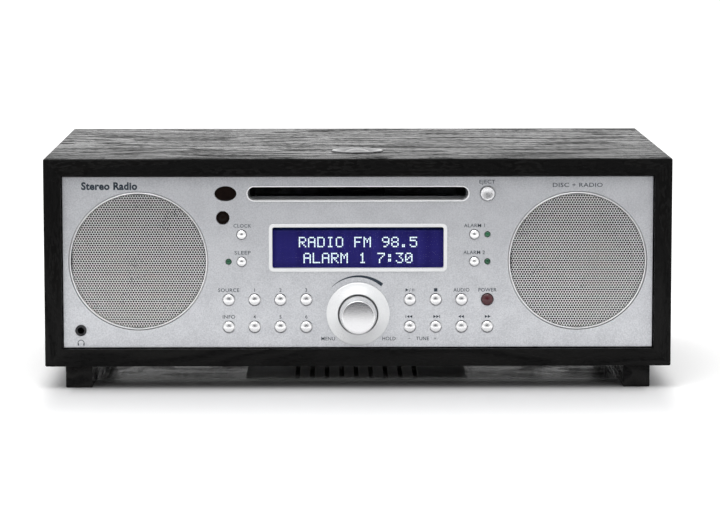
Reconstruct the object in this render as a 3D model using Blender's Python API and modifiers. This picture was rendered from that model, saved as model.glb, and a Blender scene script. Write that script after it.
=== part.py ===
"""Mini hifi system: a wooden table-top case with a disc player, radio display, two full-range
speakers behind round grilles and a woofer that fires down between two runner feet.

The front faces -Y, the top +Z. The origin is on the floor, under the middle of the overall box.
Everything is in metres. Run it with: blender --background --python part.py
"""

import math

import bmesh
import bpy
from mathutils import Euler, Vector

# ---------------------------------------------------------------- driving dimensions (metres)
# Case
CASE_WIDTH = 0.3588
CASE_DEPTH = 0.2270
CASE_HEIGHT = 0.1194
CASE_WALL = 0.0100
CASE_EDGE = 0.0010
KNOB_REACH = 0.0143

# Feet: two runners from front to back
FOOT_WIDTH = 0.0154
FOOT_HEIGHT = 0.0137
FOOT_INSET = 0.0110
FOOT_SETBACK = 0.0100
FOOT_EDGE = 0.0008

# Front and back panels
PANEL_RECESS = 0.0040
PANEL_THICK = 0.0030
PANEL_GAP = 0.0006
BACK_RECESS = 0.0110
BACK_THICK = 0.0030

# Clearances between neighbours
REST_GAP = 0.0003
SLIDE_GAP = 0.0003
PLAY = 0.0005
OVERRUN = 0.0020

# Speakers behind the round grilles
GRILLE_RADIUS = 0.0395
GRILLE_CROWN = 0.0009
GRILLE_SHEET = 0.0008
GRILLE_LIP = 0.0022
GRILLE_ROLL = 0.0016
SPEAKER_EDGE_MARGIN = 0.0032
SPEAKER_RISE = 0.0007
FLANGE_OVERLAP = 0.0027
FLANGE_THICK = 0.0025
SPEAKER_CONE_RADIUS = 0.0325
SPEAKER_COIL_RADIUS = 0.0090
SPEAKER_DISH = 0.0110
SPEAKER_DEPTH = 0.0340
SPEAKER_MAGNET_RADIUS = 0.0240
SPEAKER_MAGNET_DEPTH = 0.0120
SPEAKER_TRAVEL = 0.0010

# Woofer in the bottom board, and the guard plate under it
WOOFER_BEHIND_FRONT = 0.1320
WOOFER_HOLE_RADIUS = 0.0500
WOOFER_FLANGE_OVERLAP = 0.0060
WOOFER_CONE_RADIUS = 0.0440
WOOFER_COIL_RADIUS = 0.0130
WOOFER_DISH = 0.0150
WOOFER_DEPTH = 0.0460
WOOFER_MAGNET_RADIUS = 0.0320
WOOFER_MAGNET_DEPTH = 0.0180
WOOFER_TRAVEL = 0.0025
CONE_THICK = 0.0012
CONE_ROLL = 0.0060
GUARD_WIDTH = 0.1350
GUARD_DEPTH = 0.1080
GUARD_THICK = 0.0030
GUARD_CORNER = 0.0080
GUARD_SLOT = 0.0030
GUARD_PITCH = 0.0090

# Controls, as distances from the middle of the panel and from the underside of the case
COLUMN_FIRST = 0.0297
COLUMN_PITCH = 0.0148
ROW_LOW = 0.0224
ROW_PITCH = 0.0157
SIDE_KEY_X = 0.0666
SLEEP_UP = 0.0600
CLOCK_UP = 0.0756
SLOT_BELOW_TOP = 0.0203

KEY_RADIUS = 0.0031
SMALL_KEY_RADIUS = 0.0025
EJECT_RADIUS = 0.0040
KEY_GAP = 0.0004
KEY_PROUD = 0.0018
KEY_EDGE_PROUD = 0.0009
KEY_LIP = 0.0008
KEY_TRAVEL = 0.0008
STEM_RADIUS = 0.0012
LAMP_RADIUS = 0.0015
LAMP_PROUD = 0.0007

# Volume knob, its fixed flared surround and its push encoder
KNOB_UP = 0.0300
KNOB_FRONT_RADIUS = 0.0093
KNOB_BASE_RADIUS = 0.0107
KNOB_FRONT_EDGE = 0.0006
KNOB_TRAVEL = 0.0008
SURROUND_RADIUS = 0.0181
SURROUND_BORE = 0.0115
SURROUND_PROUD = 0.0045
SURROUND_EDGE = 0.0012
SURROUND_NECK = 0.0012
SHAFT_RADIUS = 0.0030
ENCODER_RADIUS = 0.0080
ENCODER_WALL = 0.0010
ENCODER_DEPTH = 0.0078
ROTOR_THICK = 0.0025

# Display
DISPLAY_UP = 0.0680
DISPLAY_WIDTH = 0.0973
DISPLAY_HEIGHT = 0.0236
DISPLAY_CORNER = 0.0012
BEZEL_BORDER = 0.0020
BEZEL_PROUD = 0.0009
BEZEL_SLEEVE = 0.0008
WINDOW_THICK = 0.0010
WINDOW_PAST_PANEL = 0.0002
MODULE_BORDER = 0.0060
MODULE_THICK = 0.0062

# Remote-control window, light sensor and headphone socket
REMOTE_FROM_SLOT = 0.01195
REMOTE_WIDTH = 0.0120
REMOTE_HEIGHT = 0.0081
REMOTE_PROUD = 0.0004
SENSOR_FROM_SLOT = 0.01355
SENSOR_BELOW_SLOT = 0.0138
SENSOR_RADIUS = 0.0035
SENSOR_PROUD = 0.0007
SENSOR_RIM = 0.0009
PHONES_EDGE_MARGIN = 0.0099
PHONES_UP = 0.0205
PHONES_NUT_RADIUS = 0.0032
PHONES_NUT_PROUD = 0.0014
PHONES_BARREL_RADIUS = 0.0025
PHONES_BORE_RADIUS = 0.0018
PHONES_BODY_RADIUS = 0.0042
PHONES_DEPTH = 0.0170
PHONES_END_WALL = 0.0015

# Disc player
SLOT_LENGTH = 0.1275
SLOT_HEIGHT = 0.0090
SLOT_RIM = 0.0005
SLOT_WALL = 0.0008
SLOT_PROUD = 0.0009
THROAT_DEPTH = 0.0165
DRIVE_WALL = 0.0030
DRIVE_DEPTH = 0.1420
DRIVE_DROP = 0.0120
ROLLER_RADIUS = 0.0033
ROLLER_BEHIND = 0.0110
ROLLER_END_GAP = 0.0040
AXLE_RADIUS = 0.0012
DISC_RADIUS = 0.0600
DISC_CLEARANCE = 0.0060
TABLE_RADIUS = 0.0150
TABLE_THICK = 0.0012
HUB_RADIUS = 0.0072
HUB_HEIGHT = 0.0015
MOTOR_RADIUS = 0.0120
MOTOR_DEPTH = 0.0060
SPINDLE_RADIUS = 0.0015
SLED_LENGTH = 0.0180
SLED_WIDTH = 0.0340
SLED_HEIGHT = 0.0045
LENS_RADIUS = 0.0030
LENS_HEIGHT = 0.0010
RAIL_X = 0.0130
RAIL_WIDTH = 0.0030
RAIL_HEIGHT = 0.0040

# Boards, power and rear connections
BOARD_THICK = 0.0016
BOARD_BEHIND = 0.0120
BOARD_HALF = 0.0815
BOARD_MARGIN = 0.0060
SWITCH_SIZE = 0.0060
SWITCH_HEIGHT = 0.0035
SOLDER = 0.0004
MAIN_BOARD_WIDTH = 0.0950
MAIN_BOARD_DEPTH = 0.0900
STANDOFF = 0.0080
CORE_X = 0.1150
CORE_BEHIND_FRONT = 0.1513
CORE_WIDTH = 0.0560
CORE_DEPTH = 0.0440
CORE_HEIGHT = 0.0460
COIL_OVERHANG = 0.0080
COIL_INSET = 0.0080
INLET_X = 0.1150
INLET_UP = 0.0350
INLET_WIDTH = 0.0240
INLET_HEIGHT = 0.0160
INLET_RECESS_WIDTH = 0.0166
INLET_RECESS_HEIGHT = 0.0096
INLET_RECESS_DEPTH = 0.0110
INLET_DEPTH = 0.0180
INLET_PIN_RADIUS = 0.0012
INLET_PIN_PITCH = 0.0086
SOCKETS_X = -0.1100
SOCKETS_UP = 0.0420
SOCKET_PITCH = 0.0140
SOCKET_COLUMNS = 4
SOCKET_ROWS = 2
SOCKET_RADIUS = 0.0042
SOCKET_REACH = 0.0085
SOCKET_DEPTH = 0.0080
AERIAL_X = -0.0350
AERIAL_UP = 0.0420
AERIAL_RADIUS = 0.0047
AERIAL_FLANGE = 0.0070
AERIAL_BORE = 0.0018
AERIAL_REACH = 0.0100
VENT_COUNT = 9
VENT_PITCH = 0.0070
VENT_WIDTH = 0.0025
VENT_LENGTH = 0.0260
VENT_UP = 0.0850

# Touch disc let into the top
TOUCH_RADIUS = 0.0148
TOUCH_BEHIND_FRONT = 0.0510
TOUCH_GROOVE_RADIUS = 0.0092
TOUCH_PROUD = 0.0008
TOUCH_DOME = 0.0016
TOUCH_SEAT = 0.0015

# ---------------------------------------------------------------- places worked out from them
FRONT = KNOB_REACH - (CASE_DEPTH + KNOB_REACH) / 2
REAR = FRONT + CASE_DEPTH
BASE = FOOT_HEIGHT
TOP = BASE + CASE_HEIGHT
FLOOR_INSIDE = BASE + CASE_WALL
MIDDLE_Z = BASE + CASE_HEIGHT / 2
INSIDE_WIDTH = CASE_WIDTH - 2 * CASE_WALL
PANEL_FACE = FRONT + PANEL_RECESS
PANEL_BACK = PANEL_FACE + PANEL_THICK
PANEL_WIDTH = INSIDE_WIDTH - 2 * PANEL_GAP
BACK_OUTSIDE = REAR - BACK_RECESS
BACK_INSIDE = BACK_OUTSIDE - BACK_THICK

GRILLE_HOLE = GRILLE_RADIUS + KEY_GAP
SPEAKER_X = PANEL_WIDTH / 2 - SPEAKER_EDGE_MARGIN - GRILLE_HOLE
SPEAKER_Z = MIDDLE_Z + SPEAKER_RISE
SPEAKER_FRONT = PANEL_BACK + REST_GAP + GRILLE_SHEET + REST_GAP
WOOFER_Y = FRONT + WOOFER_BEHIND_FRONT

SLOT_Z = TOP - SLOT_BELOW_TOP
REMOTE_X = -SLOT_LENGTH / 2 - REMOTE_FROM_SLOT
SENSOR_X = -SLOT_LENGTH / 2 - SENSOR_FROM_SLOT
PHONES_X = PHONES_EDGE_MARGIN - PANEL_WIDTH / 2
WINDOW_SETBACK = PANEL_THICK + WINDOW_PAST_PANEL - WINDOW_THICK
NECK_LENGTH = SLOT_LENGTH - 2 * SLOT_RIM
NECK_HEIGHT = SLOT_HEIGHT - 2 * SLOT_RIM
THROAT_LENGTH = NECK_LENGTH - 2 * SLOT_WALL
THROAT_HEIGHT = NECK_HEIGHT - 2 * SLOT_WALL

BOARD_FACE = PANEL_FACE + BOARD_BEHIND
OUTER_COLUMN = COLUMN_FIRST + 3 * COLUMN_PITCH

DRIVE_FRONT = PANEL_FACE + THROAT_DEPTH + REST_GAP
DRIVE_BACK = DRIVE_FRONT + DRIVE_DEPTH
DRIVE_HALF = THROAT_LENGTH / 2 + DRIVE_WALL
DRIVE_TOP = SLOT_Z + THROAT_HEIGHT / 2
DRIVE_FLOOR = DRIVE_TOP - THROAT_HEIGHT - DRIVE_DROP
DRIVE_UNDERSIDE = DRIVE_FLOOR - DRIVE_WALL
DISC_Y = DRIVE_BACK - DRIVE_WALL - DISC_CLEARANCE - DISC_RADIUS
DISC_UNDERSIDE = SLOT_Z - THROAT_HEIGHT / 2
ROLLER_Y = DRIVE_FRONT + ROLLER_BEHIND
ROLLER_Z = DISC_UNDERSIDE - SLIDE_GAP - ROLLER_RADIUS

# Ways that a turned or flat piece can face: its local Z points along the name's direction
FORWARD = Euler((math.pi / 2, 0, 0))
BACKWARD = Euler((-math.pi / 2, 0, 0))
DOWNWARD = Euler((math.pi, 0, 0))
UPWARD = Euler((0, 0, 0))
SIDEWAYS = Euler((0, math.pi / 2, 0))

# ---------------------------------------------------------------- clear the scene
for old in list(bpy.data.objects):
    bpy.data.objects.remove(old)

PARTS = bpy.data.collections.new("mini_hifi_system")
CUTTERS = bpy.data.collections.new("cutters")
for group in (PARTS, CUTTERS):
    bpy.context.scene.collection.children.link(group)


# ---------------------------------------------------------------- materials
def material(name, colour, roughness, metallic=0.0, alpha=1.0):
    made = bpy.data.materials.new(name)
    made.use_nodes = True
    shader = made.node_tree.nodes["Principled BSDF"]
    shader.inputs["Base Color"].default_value = (*colour, 1.0)
    shader.inputs["Roughness"].default_value = roughness
    shader.inputs["Metallic"].default_value = metallic
    shader.inputs["Alpha"].default_value = alpha
    return made


BLACK_ASH = material("black_ash", (0.012, 0.012, 0.012), 0.5)
SILVER_PAINT = material("silver_paint", (0.46, 0.47, 0.49), 0.38, 0.6)
SILVER_STEEL = material("silver_steel", (0.50, 0.50, 0.52), 0.35, 0.9)
SATIN_CHROME = material("satin_chrome", (0.78, 0.78, 0.79), 0.22, 1.0)
PEARL_PLASTIC = material("pearl_plastic", (0.76, 0.77, 0.78), 0.3, 0.3)
BLACK_PLASTIC = material("black_plastic", (0.02, 0.02, 0.022), 0.45)
SMOKED_LENS = material("smoked_lens", (0.008, 0.005, 0.005), 0.08)
RED_LENS = material("red_lens", (0.10, 0.015, 0.02), 0.2)
GREEN_LENS = material("green_lens", (0.01, 0.12, 0.05), 0.15)
CLEAR_LENS = material("clear_lens", (0.9, 0.92, 0.95), 0.05, 0.0, 0.3)
BLUE_DISPLAY = material("blue_display", (0.03, 0.025, 0.18), 0.2)
CONE_PAPER = material("cone_paper", (0.03, 0.03, 0.032), 0.8)
GALVANISED = material("galvanised", (0.45, 0.46, 0.48), 0.4, 0.9)
GREEN_BOARD = material("green_board", (0.02, 0.10, 0.05), 0.5)
ROLLER_RUBBER = material("roller_rubber", (0.03, 0.03, 0.03), 0.7)


# ---------------------------------------------------------------- shape makers
def placed(name, mesh, where, turn=UPWARD, finish=None):
    """A new object in the parts collection, or among the cutters if it has no finish."""
    thing = bpy.data.objects.new(name, mesh)
    thing.location = where
    thing.rotation_euler = turn
    if finish is None:
        CUTTERS.objects.link(thing)
        thing.hide_render = True
        thing.display_type = "WIRE"
    else:
        PARTS.objects.link(thing)
        mesh.materials.append(finish)
    return thing


def block(name, low, high, finish=None, edge=0.0):
    """A box between two corners, its origin in its middle, with rounded edges if edge is given."""
    low, high = Vector(low), Vector(high)
    shape = bmesh.new()
    bmesh.ops.create_cube(shape, size=1.0)
    bmesh.ops.scale(shape, vec=high - low, verts=shape.verts)
    mesh = bpy.data.meshes.new(name)
    shape.to_mesh(mesh)
    shape.free()
    thing = placed(name, mesh, (low + high) / 2, UPWARD, finish)
    if edge:
        rounding = thing.modifiers.new("rounded edges", "BEVEL")
        rounding.width = edge
        rounding.segments = 2
    return thing


def turned(name, profile, where, turn, steps, finish=None, ring=False):
    """A lathe shape from (radius, height) points, heights along local Z.

    The points run up the inside, if there is one, and then down the outside. A ring's last
    point joins its first; any other profile starts and ends on the axis.
    """
    mesh = bpy.data.meshes.new(name)
    edges = [(i, i + 1) for i in range(len(profile) - 1)]
    if ring:
        edges.append((len(profile) - 1, 0))
    mesh.from_pydata([(radius, 0.0, height) for radius, height in profile], edges, [])
    thing = placed(name, mesh, where, turn, finish)
    lathe = thing.modifiers.new("lathe", "SCREW")
    lathe.steps = steps
    lathe.render_steps = steps
    lathe.use_merge_vertices = True
    lathe.merge_threshold = 0.00001
    lathe.use_smooth_shade = finish is not None
    return thing


def cylinder(name, radius, low, high, where, turn, sides, finish=None):
    """A solid rod along local Z, from height low to height high."""
    profile = [(0, high), (radius, high), (radius, low), (0, low)]
    return turned(name, profile, where, turn, sides, finish)


def rounded_outline(width, height, radius, steps):
    """Points of a rectangle with round corners, anticlockwise about its middle."""
    points = []
    for side_x, side_y, start in ((1, 1, 0), (-1, 1, 90), (-1, -1, 180), (1, -1, 270)):
        middle_x = side_x * (width / 2 - radius)
        middle_y = side_y * (height / 2 - radius)
        for step in range(steps + 1):
            angle = math.radians(start + 90 * step / steps)
            points.append((middle_x + radius * math.cos(angle), middle_y + radius * math.sin(angle)))
    return points


def slot_outline(length, height, steps):
    """Points of a slot with half-round ends, anticlockwise about its middle."""
    reach = (length - height) / 2
    points = []
    for side, start in ((1, -90), (-1, 90)):
        for step in range(steps + 1):
            angle = math.radians(start + 180 * step / steps)
            points.append((side * reach + height / 2 * math.cos(angle), height / 2 * math.sin(angle)))
    return points


def oval_outline(width, height, steps):
    angles = [2 * math.pi * step / steps for step in range(steps)]
    return [(width / 2 * math.cos(angle), height / 2 * math.sin(angle)) for angle in angles]


def sheet(name, outline, low, high, where, turn, finish=None):
    """A flat outline extruded along local Z from low to high, and made a welded mesh."""
    drawing = bpy.data.curves.new(name, "CURVE")
    drawing.dimensions = "2D"
    drawing.fill_mode = "BOTH"
    drawing.extrude = (high - low) / 2
    line = drawing.splines.new("POLY")
    line.points.add(len(outline) - 1)
    for point, (x, y) in zip(line.points, outline):
        point.co = (x, y, 0, 1)
    line.use_cyclic_u = True
    guide = bpy.data.objects.new(name + "_drawing", drawing)
    CUTTERS.objects.link(guide)
    bpy.context.view_layer.update()
    graph = bpy.context.evaluated_depsgraph_get()
    mesh = bpy.data.meshes.new_from_object(guide.evaluated_get(graph))
    bpy.data.objects.remove(guide)
    mesh.name = name
    shape = bmesh.new()
    shape.from_mesh(mesh)
    bmesh.ops.remove_doubles(shape, verts=shape.verts, dist=0.000001)
    bmesh.ops.translate(shape, verts=shape.verts, vec=(0, 0, (high + low) / 2))
    bmesh.ops.recalc_face_normals(shape, faces=shape.faces)
    shape.to_mesh(mesh)
    shape.free()
    return placed(name, mesh, where, turn, finish)


def combine(thing, others, operation="DIFFERENCE"):
    """Cuts the other objects from this one, or joins them to it, with one Boolean."""
    group = bpy.data.collections.new(thing.name + "_" + operation.lower())
    CUTTERS.children.link(group)
    group.hide_render = True
    for other in others:
        CUTTERS.objects.unlink(other)
        group.objects.link(other)
    change = thing.modifiers.new(operation.lower(), "BOOLEAN")
    change.operation = operation
    change.operand_type = "COLLECTION"
    change.collection = group
    change.solver = "EXACT"


def on_panel(x, up):
    """The point of the front panel's face at x, and up above the underside of the case."""
    return (x, PANEL_FACE, BASE + up)


# ---------------------------------------------------------------- wooden case and feet
def make_case():
    low = (-CASE_WIDTH / 2, FRONT, BASE)
    high = (CASE_WIDTH / 2, REAR, TOP)
    case = block("case", low, high, BLACK_ASH, CASE_EDGE)
    low = (-INSIDE_WIDTH / 2, FRONT - OVERRUN, FLOOR_INSIDE)
    high = (INSIDE_WIDTH / 2, REAR + OVERRUN, TOP - CASE_WALL)
    inside = block("case_inside", low, high)
    middle = (0, WOOFER_Y, BASE)
    reach = CASE_WALL + OVERRUN
    hole = cylinder("woofer_hole", WOOFER_HOLE_RADIUS, -OVERRUN, reach, middle, UPWARD, 40)
    seat_radius = TOUCH_RADIUS + SLIDE_GAP
    seat_floor = -TOUCH_SEAT - REST_GAP
    middle = (0, FRONT + TOUCH_BEHIND_FRONT, TOP)
    seat = cylinder("touch_seat", seat_radius, seat_floor, OVERRUN, middle, UPWARD, 32)
    combine(case, [inside, hole, seat])


def make_feet():
    outer = CASE_WIDTH / 2 - FOOT_INSET
    for side, name in ((-1, "foot_left"), (1, "foot_right")):
        near, far = sorted((side * outer, side * (outer - FOOT_WIDTH)))
        low = (near, FRONT + FOOT_SETBACK, 0)
        high = (far, REAR - FOOT_SETBACK, BASE - REST_GAP)
        block(name, low, high, BLACK_ASH, FOOT_EDGE)


def make_touch_disc():
    """Metal touch pad: a rim, a shallow groove and a domed middle."""
    groove = TOUCH_GROOVE_RADIUS
    profile = [
        (0, TOUCH_DOME),
        (groove * 0.55, TOUCH_DOME * 0.8),
        (groove, 0),
        ((groove + TOUCH_RADIUS) / 2, TOUCH_PROUD / 2),
        (TOUCH_RADIUS * 0.93, TOUCH_PROUD),
        (TOUCH_RADIUS, TOUCH_PROUD / 2),
        (TOUCH_RADIUS, -TOUCH_SEAT),
        (0, -TOUCH_SEAT),
    ]
    turned("touch_disc", profile, (0, FRONT + TOUCH_BEHIND_FRONT, TOP), UPWARD, 24, SATIN_CHROME)


# ---------------------------------------------------------------- control layout
def key_layout():
    """(name, x, height above the underside of the case, radius, finish) of each push key."""
    columns = [COLUMN_FIRST + COLUMN_PITCH * i for i in range(4)]
    row_high = ROW_LOW + ROW_PITCH
    left_high = ("preset_3", "preset_2", "preset_1", "source")
    left_low = ("preset_6", "preset_5", "preset_4", "info")
    right_high = ("play_pause", "stop", "audio", "power")
    right_low = ("track_back", "track_next", "rewind", "fast_forward")
    rows = ((-1, row_high, left_high), (-1, ROW_LOW, left_low))
    rows += ((1, row_high, right_high), (1, ROW_LOW, right_low))
    keys = []
    for side, up, names in rows:
        for x, name in zip(columns, names):
            finish = RED_LENS if name == "power" else SATIN_CHROME
            keys.append(("key_" + name, side * x, up, KEY_RADIUS, finish))
    for side, up, name in (
        (-1, CLOCK_UP, "clock"),
        (-1, SLEEP_UP, "sleep"),
        (1, CLOCK_UP, "alarm_1"),
        (1, SLEEP_UP, "alarm_2"),
    ):
        keys.append(("key_" + name, side * SIDE_KEY_X, up, SMALL_KEY_RADIUS, SATIN_CHROME))
    keys.append(("key_eject", OUTER_COLUMN, SLOT_Z - BASE, EJECT_RADIUS, SILVER_STEEL))
    return keys


def lamp_layout():
    """(name, x, height above the underside of the case) of each indicator lamp."""
    return [
        ("sleep_lamp", -OUTER_COLUMN, SLEEP_UP),
        ("alarm_1_lamp", OUTER_COLUMN, CLOCK_UP),
        ("alarm_2_lamp", OUTER_COLUMN, SLEEP_UP),
    ]


# ---------------------------------------------------------------- front panel
def make_front_panel():
    low = (-PANEL_WIDTH / 2, PANEL_FACE, FLOOR_INSIDE + PANEL_GAP)
    high = (PANEL_WIDTH / 2, PANEL_BACK, TOP - CASE_WALL - PANEL_GAP)
    panel = block("front_panel", low, high, SILVER_PAINT)

    neck_radius = SURROUND_BORE + SURROUND_NECK
    sensor = (SENSOR_X, PANEL_FACE, SLOT_Z - SENSOR_BELOW_SLOT)
    round_holes = [
        (on_panel(0, KNOB_UP), neck_radius + SLIDE_GAP, 32),
        (on_panel(PHONES_X, PHONES_UP), PHONES_BARREL_RADIUS + SLIDE_GAP, 12),
        (sensor, SENSOR_RADIUS + SLIDE_GAP, 16),
    ]
    for side in (-1, 1):
        round_holes.append(((side * SPEAKER_X, PANEL_FACE, SPEAKER_Z), GRILLE_HOLE, 40))
    for _, x, up, radius, _ in key_layout():
        round_holes.append((on_panel(x, up), radius + KEY_GAP, 12))
    for _, x, up in lamp_layout():
        round_holes.append((on_panel(x, up), LAMP_RADIUS + SLIDE_GAP, 10))

    deep = -PANEL_THICK - OVERRUN
    cuts = []
    for where, radius, sides in round_holes:
        cuts.append(cylinder("panel_hole", radius, deep, OVERRUN, where, FORWARD, sides))

    gap = 2 * SLIDE_GAP
    slot = slot_outline(NECK_LENGTH + gap, NECK_HEIGHT + gap, 8)
    remote = oval_outline(REMOTE_WIDTH + gap, REMOTE_HEIGHT + gap, 20)
    sleeve = 2 * BEZEL_SLEEVE + gap
    corner = DISPLAY_CORNER + sleeve / 2
    window = rounded_outline(DISPLAY_WIDTH + sleeve, DISPLAY_HEIGHT + sleeve, corner, 3)
    for outline, where in (
        (slot, (0, PANEL_FACE, SLOT_Z)),
        (remote, (REMOTE_X, PANEL_FACE, SLOT_Z)),
        (window, on_panel(0, DISPLAY_UP)),
    ):
        cuts.append(sheet("panel_window", outline, deep, OVERRUN, where, FORWARD))
    combine(panel, cuts)


# ---------------------------------------------------------------- speakers
def make_grille(name, x):
    """Pressed steel pan: a slightly crowned face, a rolled edge and a lip behind the panel."""
    outer = GRILLE_RADIUS
    inner = outer - GRILLE_SHEET
    lip = GRILLE_HOLE + GRILLE_LIP
    lip_front = -PANEL_THICK - REST_GAP
    lip_back = lip_front - GRILLE_SHEET
    profile = [
        (0, GRILLE_CROWN),
        (outer - GRILLE_ROLL, 0),
        (outer - GRILLE_ROLL / 3, -GRILLE_ROLL / 3),
        (outer, -GRILLE_ROLL),
        (outer, lip_front),
        (lip, lip_front),
        (lip, lip_back),
        (inner, lip_back),
        (inner, -GRILLE_ROLL - GRILLE_SHEET / 2),
        (inner - GRILLE_ROLL, -GRILLE_SHEET),
        (0, GRILLE_CROWN - GRILLE_SHEET),
    ]
    turned(name, profile, (x, PANEL_FACE, SPEAKER_Z), FORWARD, 30, SILVER_STEEL)


def make_driver(name, where, turn, flange, cone, coil, dish, depth, magnet, magnet_depth, travel):
    """A speaker basket with its magnet, and the cone that moves in it.

    Local Z points the way the speaker fires, from the front face of its flange.
    """
    mouth = cone + PLAY
    throat = coil + CONE_THICK + 2 * PLAY
    bowl = -(depth - magnet_depth)
    bowl_floor = bowl + FLANGE_THICK
    straight = -2 * (travel + PLAY + CONE_THICK)
    basket = [
        (0, bowl_floor),
        (throat, bowl_floor),
        (mouth, straight),
        (mouth, 0),
        (flange, 0),
        (flange, -FLANGE_THICK),
        (mouth + FLANGE_THICK, -FLANGE_THICK),
        (mouth + FLANGE_THICK, straight),
        (throat + FLANGE_THICK, bowl),
        (magnet, bowl),
        (magnet, -depth),
        (0, -depth),
    ]
    turned(name + "_basket", basket, where, turn, 20, GALVANISED)

    front = -travel - PLAY
    roll_inner = cone - CONE_ROLL
    roll_outer = cone - CONE_ROLL / 4
    paper = [
        (0, front - dish / 2),
        (coil, front - dish * 0.75),
        (roll_inner, front - 2 * CONE_THICK),
        (cone - CONE_ROLL / 2, front),
        (roll_outer, front - CONE_THICK / 2),
        (cone, front - CONE_THICK),
        (cone, front - 2 * CONE_THICK),
        (roll_inner, front - 3 * CONE_THICK),
        (coil + CONE_THICK, front - dish - CONE_THICK),
        (coil, front - dish - CONE_THICK),
        (coil, bowl_floor + travel + PLAY),
        (0, bowl_floor + travel + PLAY),
    ]
    turned(name + "_cone", paper, where, turn, 20, CONE_PAPER)


def make_speakers():
    for side, hand in ((-1, "left"), (1, "right")):
        make_grille("grille_" + hand, side * SPEAKER_X)
        make_driver(
            "speaker_" + hand,
            (side * SPEAKER_X, SPEAKER_FRONT, SPEAKER_Z),
            FORWARD,
            flange=GRILLE_HOLE + FLANGE_OVERLAP,
            cone=SPEAKER_CONE_RADIUS,
            coil=SPEAKER_COIL_RADIUS,
            dish=SPEAKER_DISH,
            depth=SPEAKER_DEPTH,
            magnet=SPEAKER_MAGNET_RADIUS,
            magnet_depth=SPEAKER_MAGNET_DEPTH,
            travel=SPEAKER_TRAVEL,
        )
    make_driver(
        "woofer",
        (0, WOOFER_Y, FLOOR_INSIDE + REST_GAP),
        DOWNWARD,
        flange=WOOFER_HOLE_RADIUS + WOOFER_FLANGE_OVERLAP,
        cone=WOOFER_CONE_RADIUS,
        coil=WOOFER_COIL_RADIUS,
        dish=WOOFER_DISH,
        depth=WOOFER_DEPTH,
        magnet=WOOFER_MAGNET_RADIUS,
        magnet_depth=WOOFER_MAGNET_DEPTH,
        travel=WOOFER_TRAVEL,
    )


def make_woofer_guard():
    """Slotted plate under the woofer, a gap clear of the underside of the case."""
    plate = rounded_outline(GUARD_WIDTH, GUARD_DEPTH, GUARD_CORNER, 4)
    where = (0, WOOFER_Y, BASE)
    guard = sheet("woofer_guard", plate, -GUARD_THICK, -REST_GAP, where, UPWARD, BLACK_PLASTIC)
    cuts = []
    last = int(WOOFER_CONE_RADIUS / GUARD_PITCH)
    for column in range(-last, last + 1):
        x = column * GUARD_PITCH
        reach = math.sqrt(WOOFER_HOLE_RADIUS**2 - x**2)
        low = (x - GUARD_SLOT / 2, WOOFER_Y - reach, BASE - GUARD_THICK - OVERRUN)
        high = (x + GUARD_SLOT / 2, WOOFER_Y + reach, BASE + OVERRUN)
        cuts.append(block("guard_slot", low, high))
    combine(guard, cuts)


# ---------------------------------------------------------------- display
def display_outline(border):
    """The display's outline, grown all round by a border."""
    width = DISPLAY_WIDTH + 2 * border
    height = DISPLAY_HEIGHT + 2 * border
    return rounded_outline(width, height, DISPLAY_CORNER + border, 3)


def make_display():
    where = on_panel(0, DISPLAY_UP)
    behind = -WINDOW_SETBACK - WINDOW_THICK
    rim = display_outline(BEZEL_BORDER)
    bezel = sheet("display_bezel", rim, REST_GAP, BEZEL_PROUD, where, FORWARD, PEARL_PLASTIC)
    middle = (REST_GAP + BEZEL_PROUD) / 2
    outside = display_outline(BEZEL_SLEEVE)
    sleeve = sheet("bezel_sleeve", outside, behind, middle, where, FORWARD)
    combine(bezel, [sleeve], "UNION")
    inside = display_outline(0)
    combine(bezel, [sheet("bezel_inside", inside, behind - OVERRUN, OVERRUN, where, FORWARD)])

    pane = display_outline(-SLIDE_GAP)
    sheet("display_window", pane, behind, -WINDOW_SETBACK, where, FORWARD, CLEAR_LENS)

    half_x = DISPLAY_WIDTH / 2 + MODULE_BORDER
    half_z = DISPLAY_HEIGHT / 2 + MODULE_BORDER
    front = PANEL_FACE - behind + REST_GAP
    low = (-half_x, front, where[2] - half_z)
    high = (half_x, front + MODULE_THICK, where[2] + half_z)
    block("display_module", low, high, BLUE_DISPLAY)


# ---------------------------------------------------------------- volume knob
def make_knob_surround():
    """Fixed flared ring, with a neck that passes through the panel."""
    bore = SURROUND_BORE
    neck = bore + SURROUND_NECK
    flare = SURROUND_RADIUS - bore
    rise = SURROUND_PROUD - SURROUND_EDGE
    profile = [
        (bore, -PANEL_THICK),
        (bore, SURROUND_PROUD),
        (bore + flare * 0.10, SURROUND_PROUD),
        (bore + flare * 0.35, SURROUND_EDGE + rise * 0.62),
        (bore + flare * 0.70, SURROUND_EDGE + rise * 0.22),
        (SURROUND_RADIUS, SURROUND_EDGE),
        (SURROUND_RADIUS, REST_GAP),
        (neck, REST_GAP),
        (neck, -PANEL_THICK),
    ]
    where = on_panel(0, KNOB_UP)
    turned("knob_surround", profile, where, FORWARD, 30, PEARL_PLASTIC, ring=True)


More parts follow.
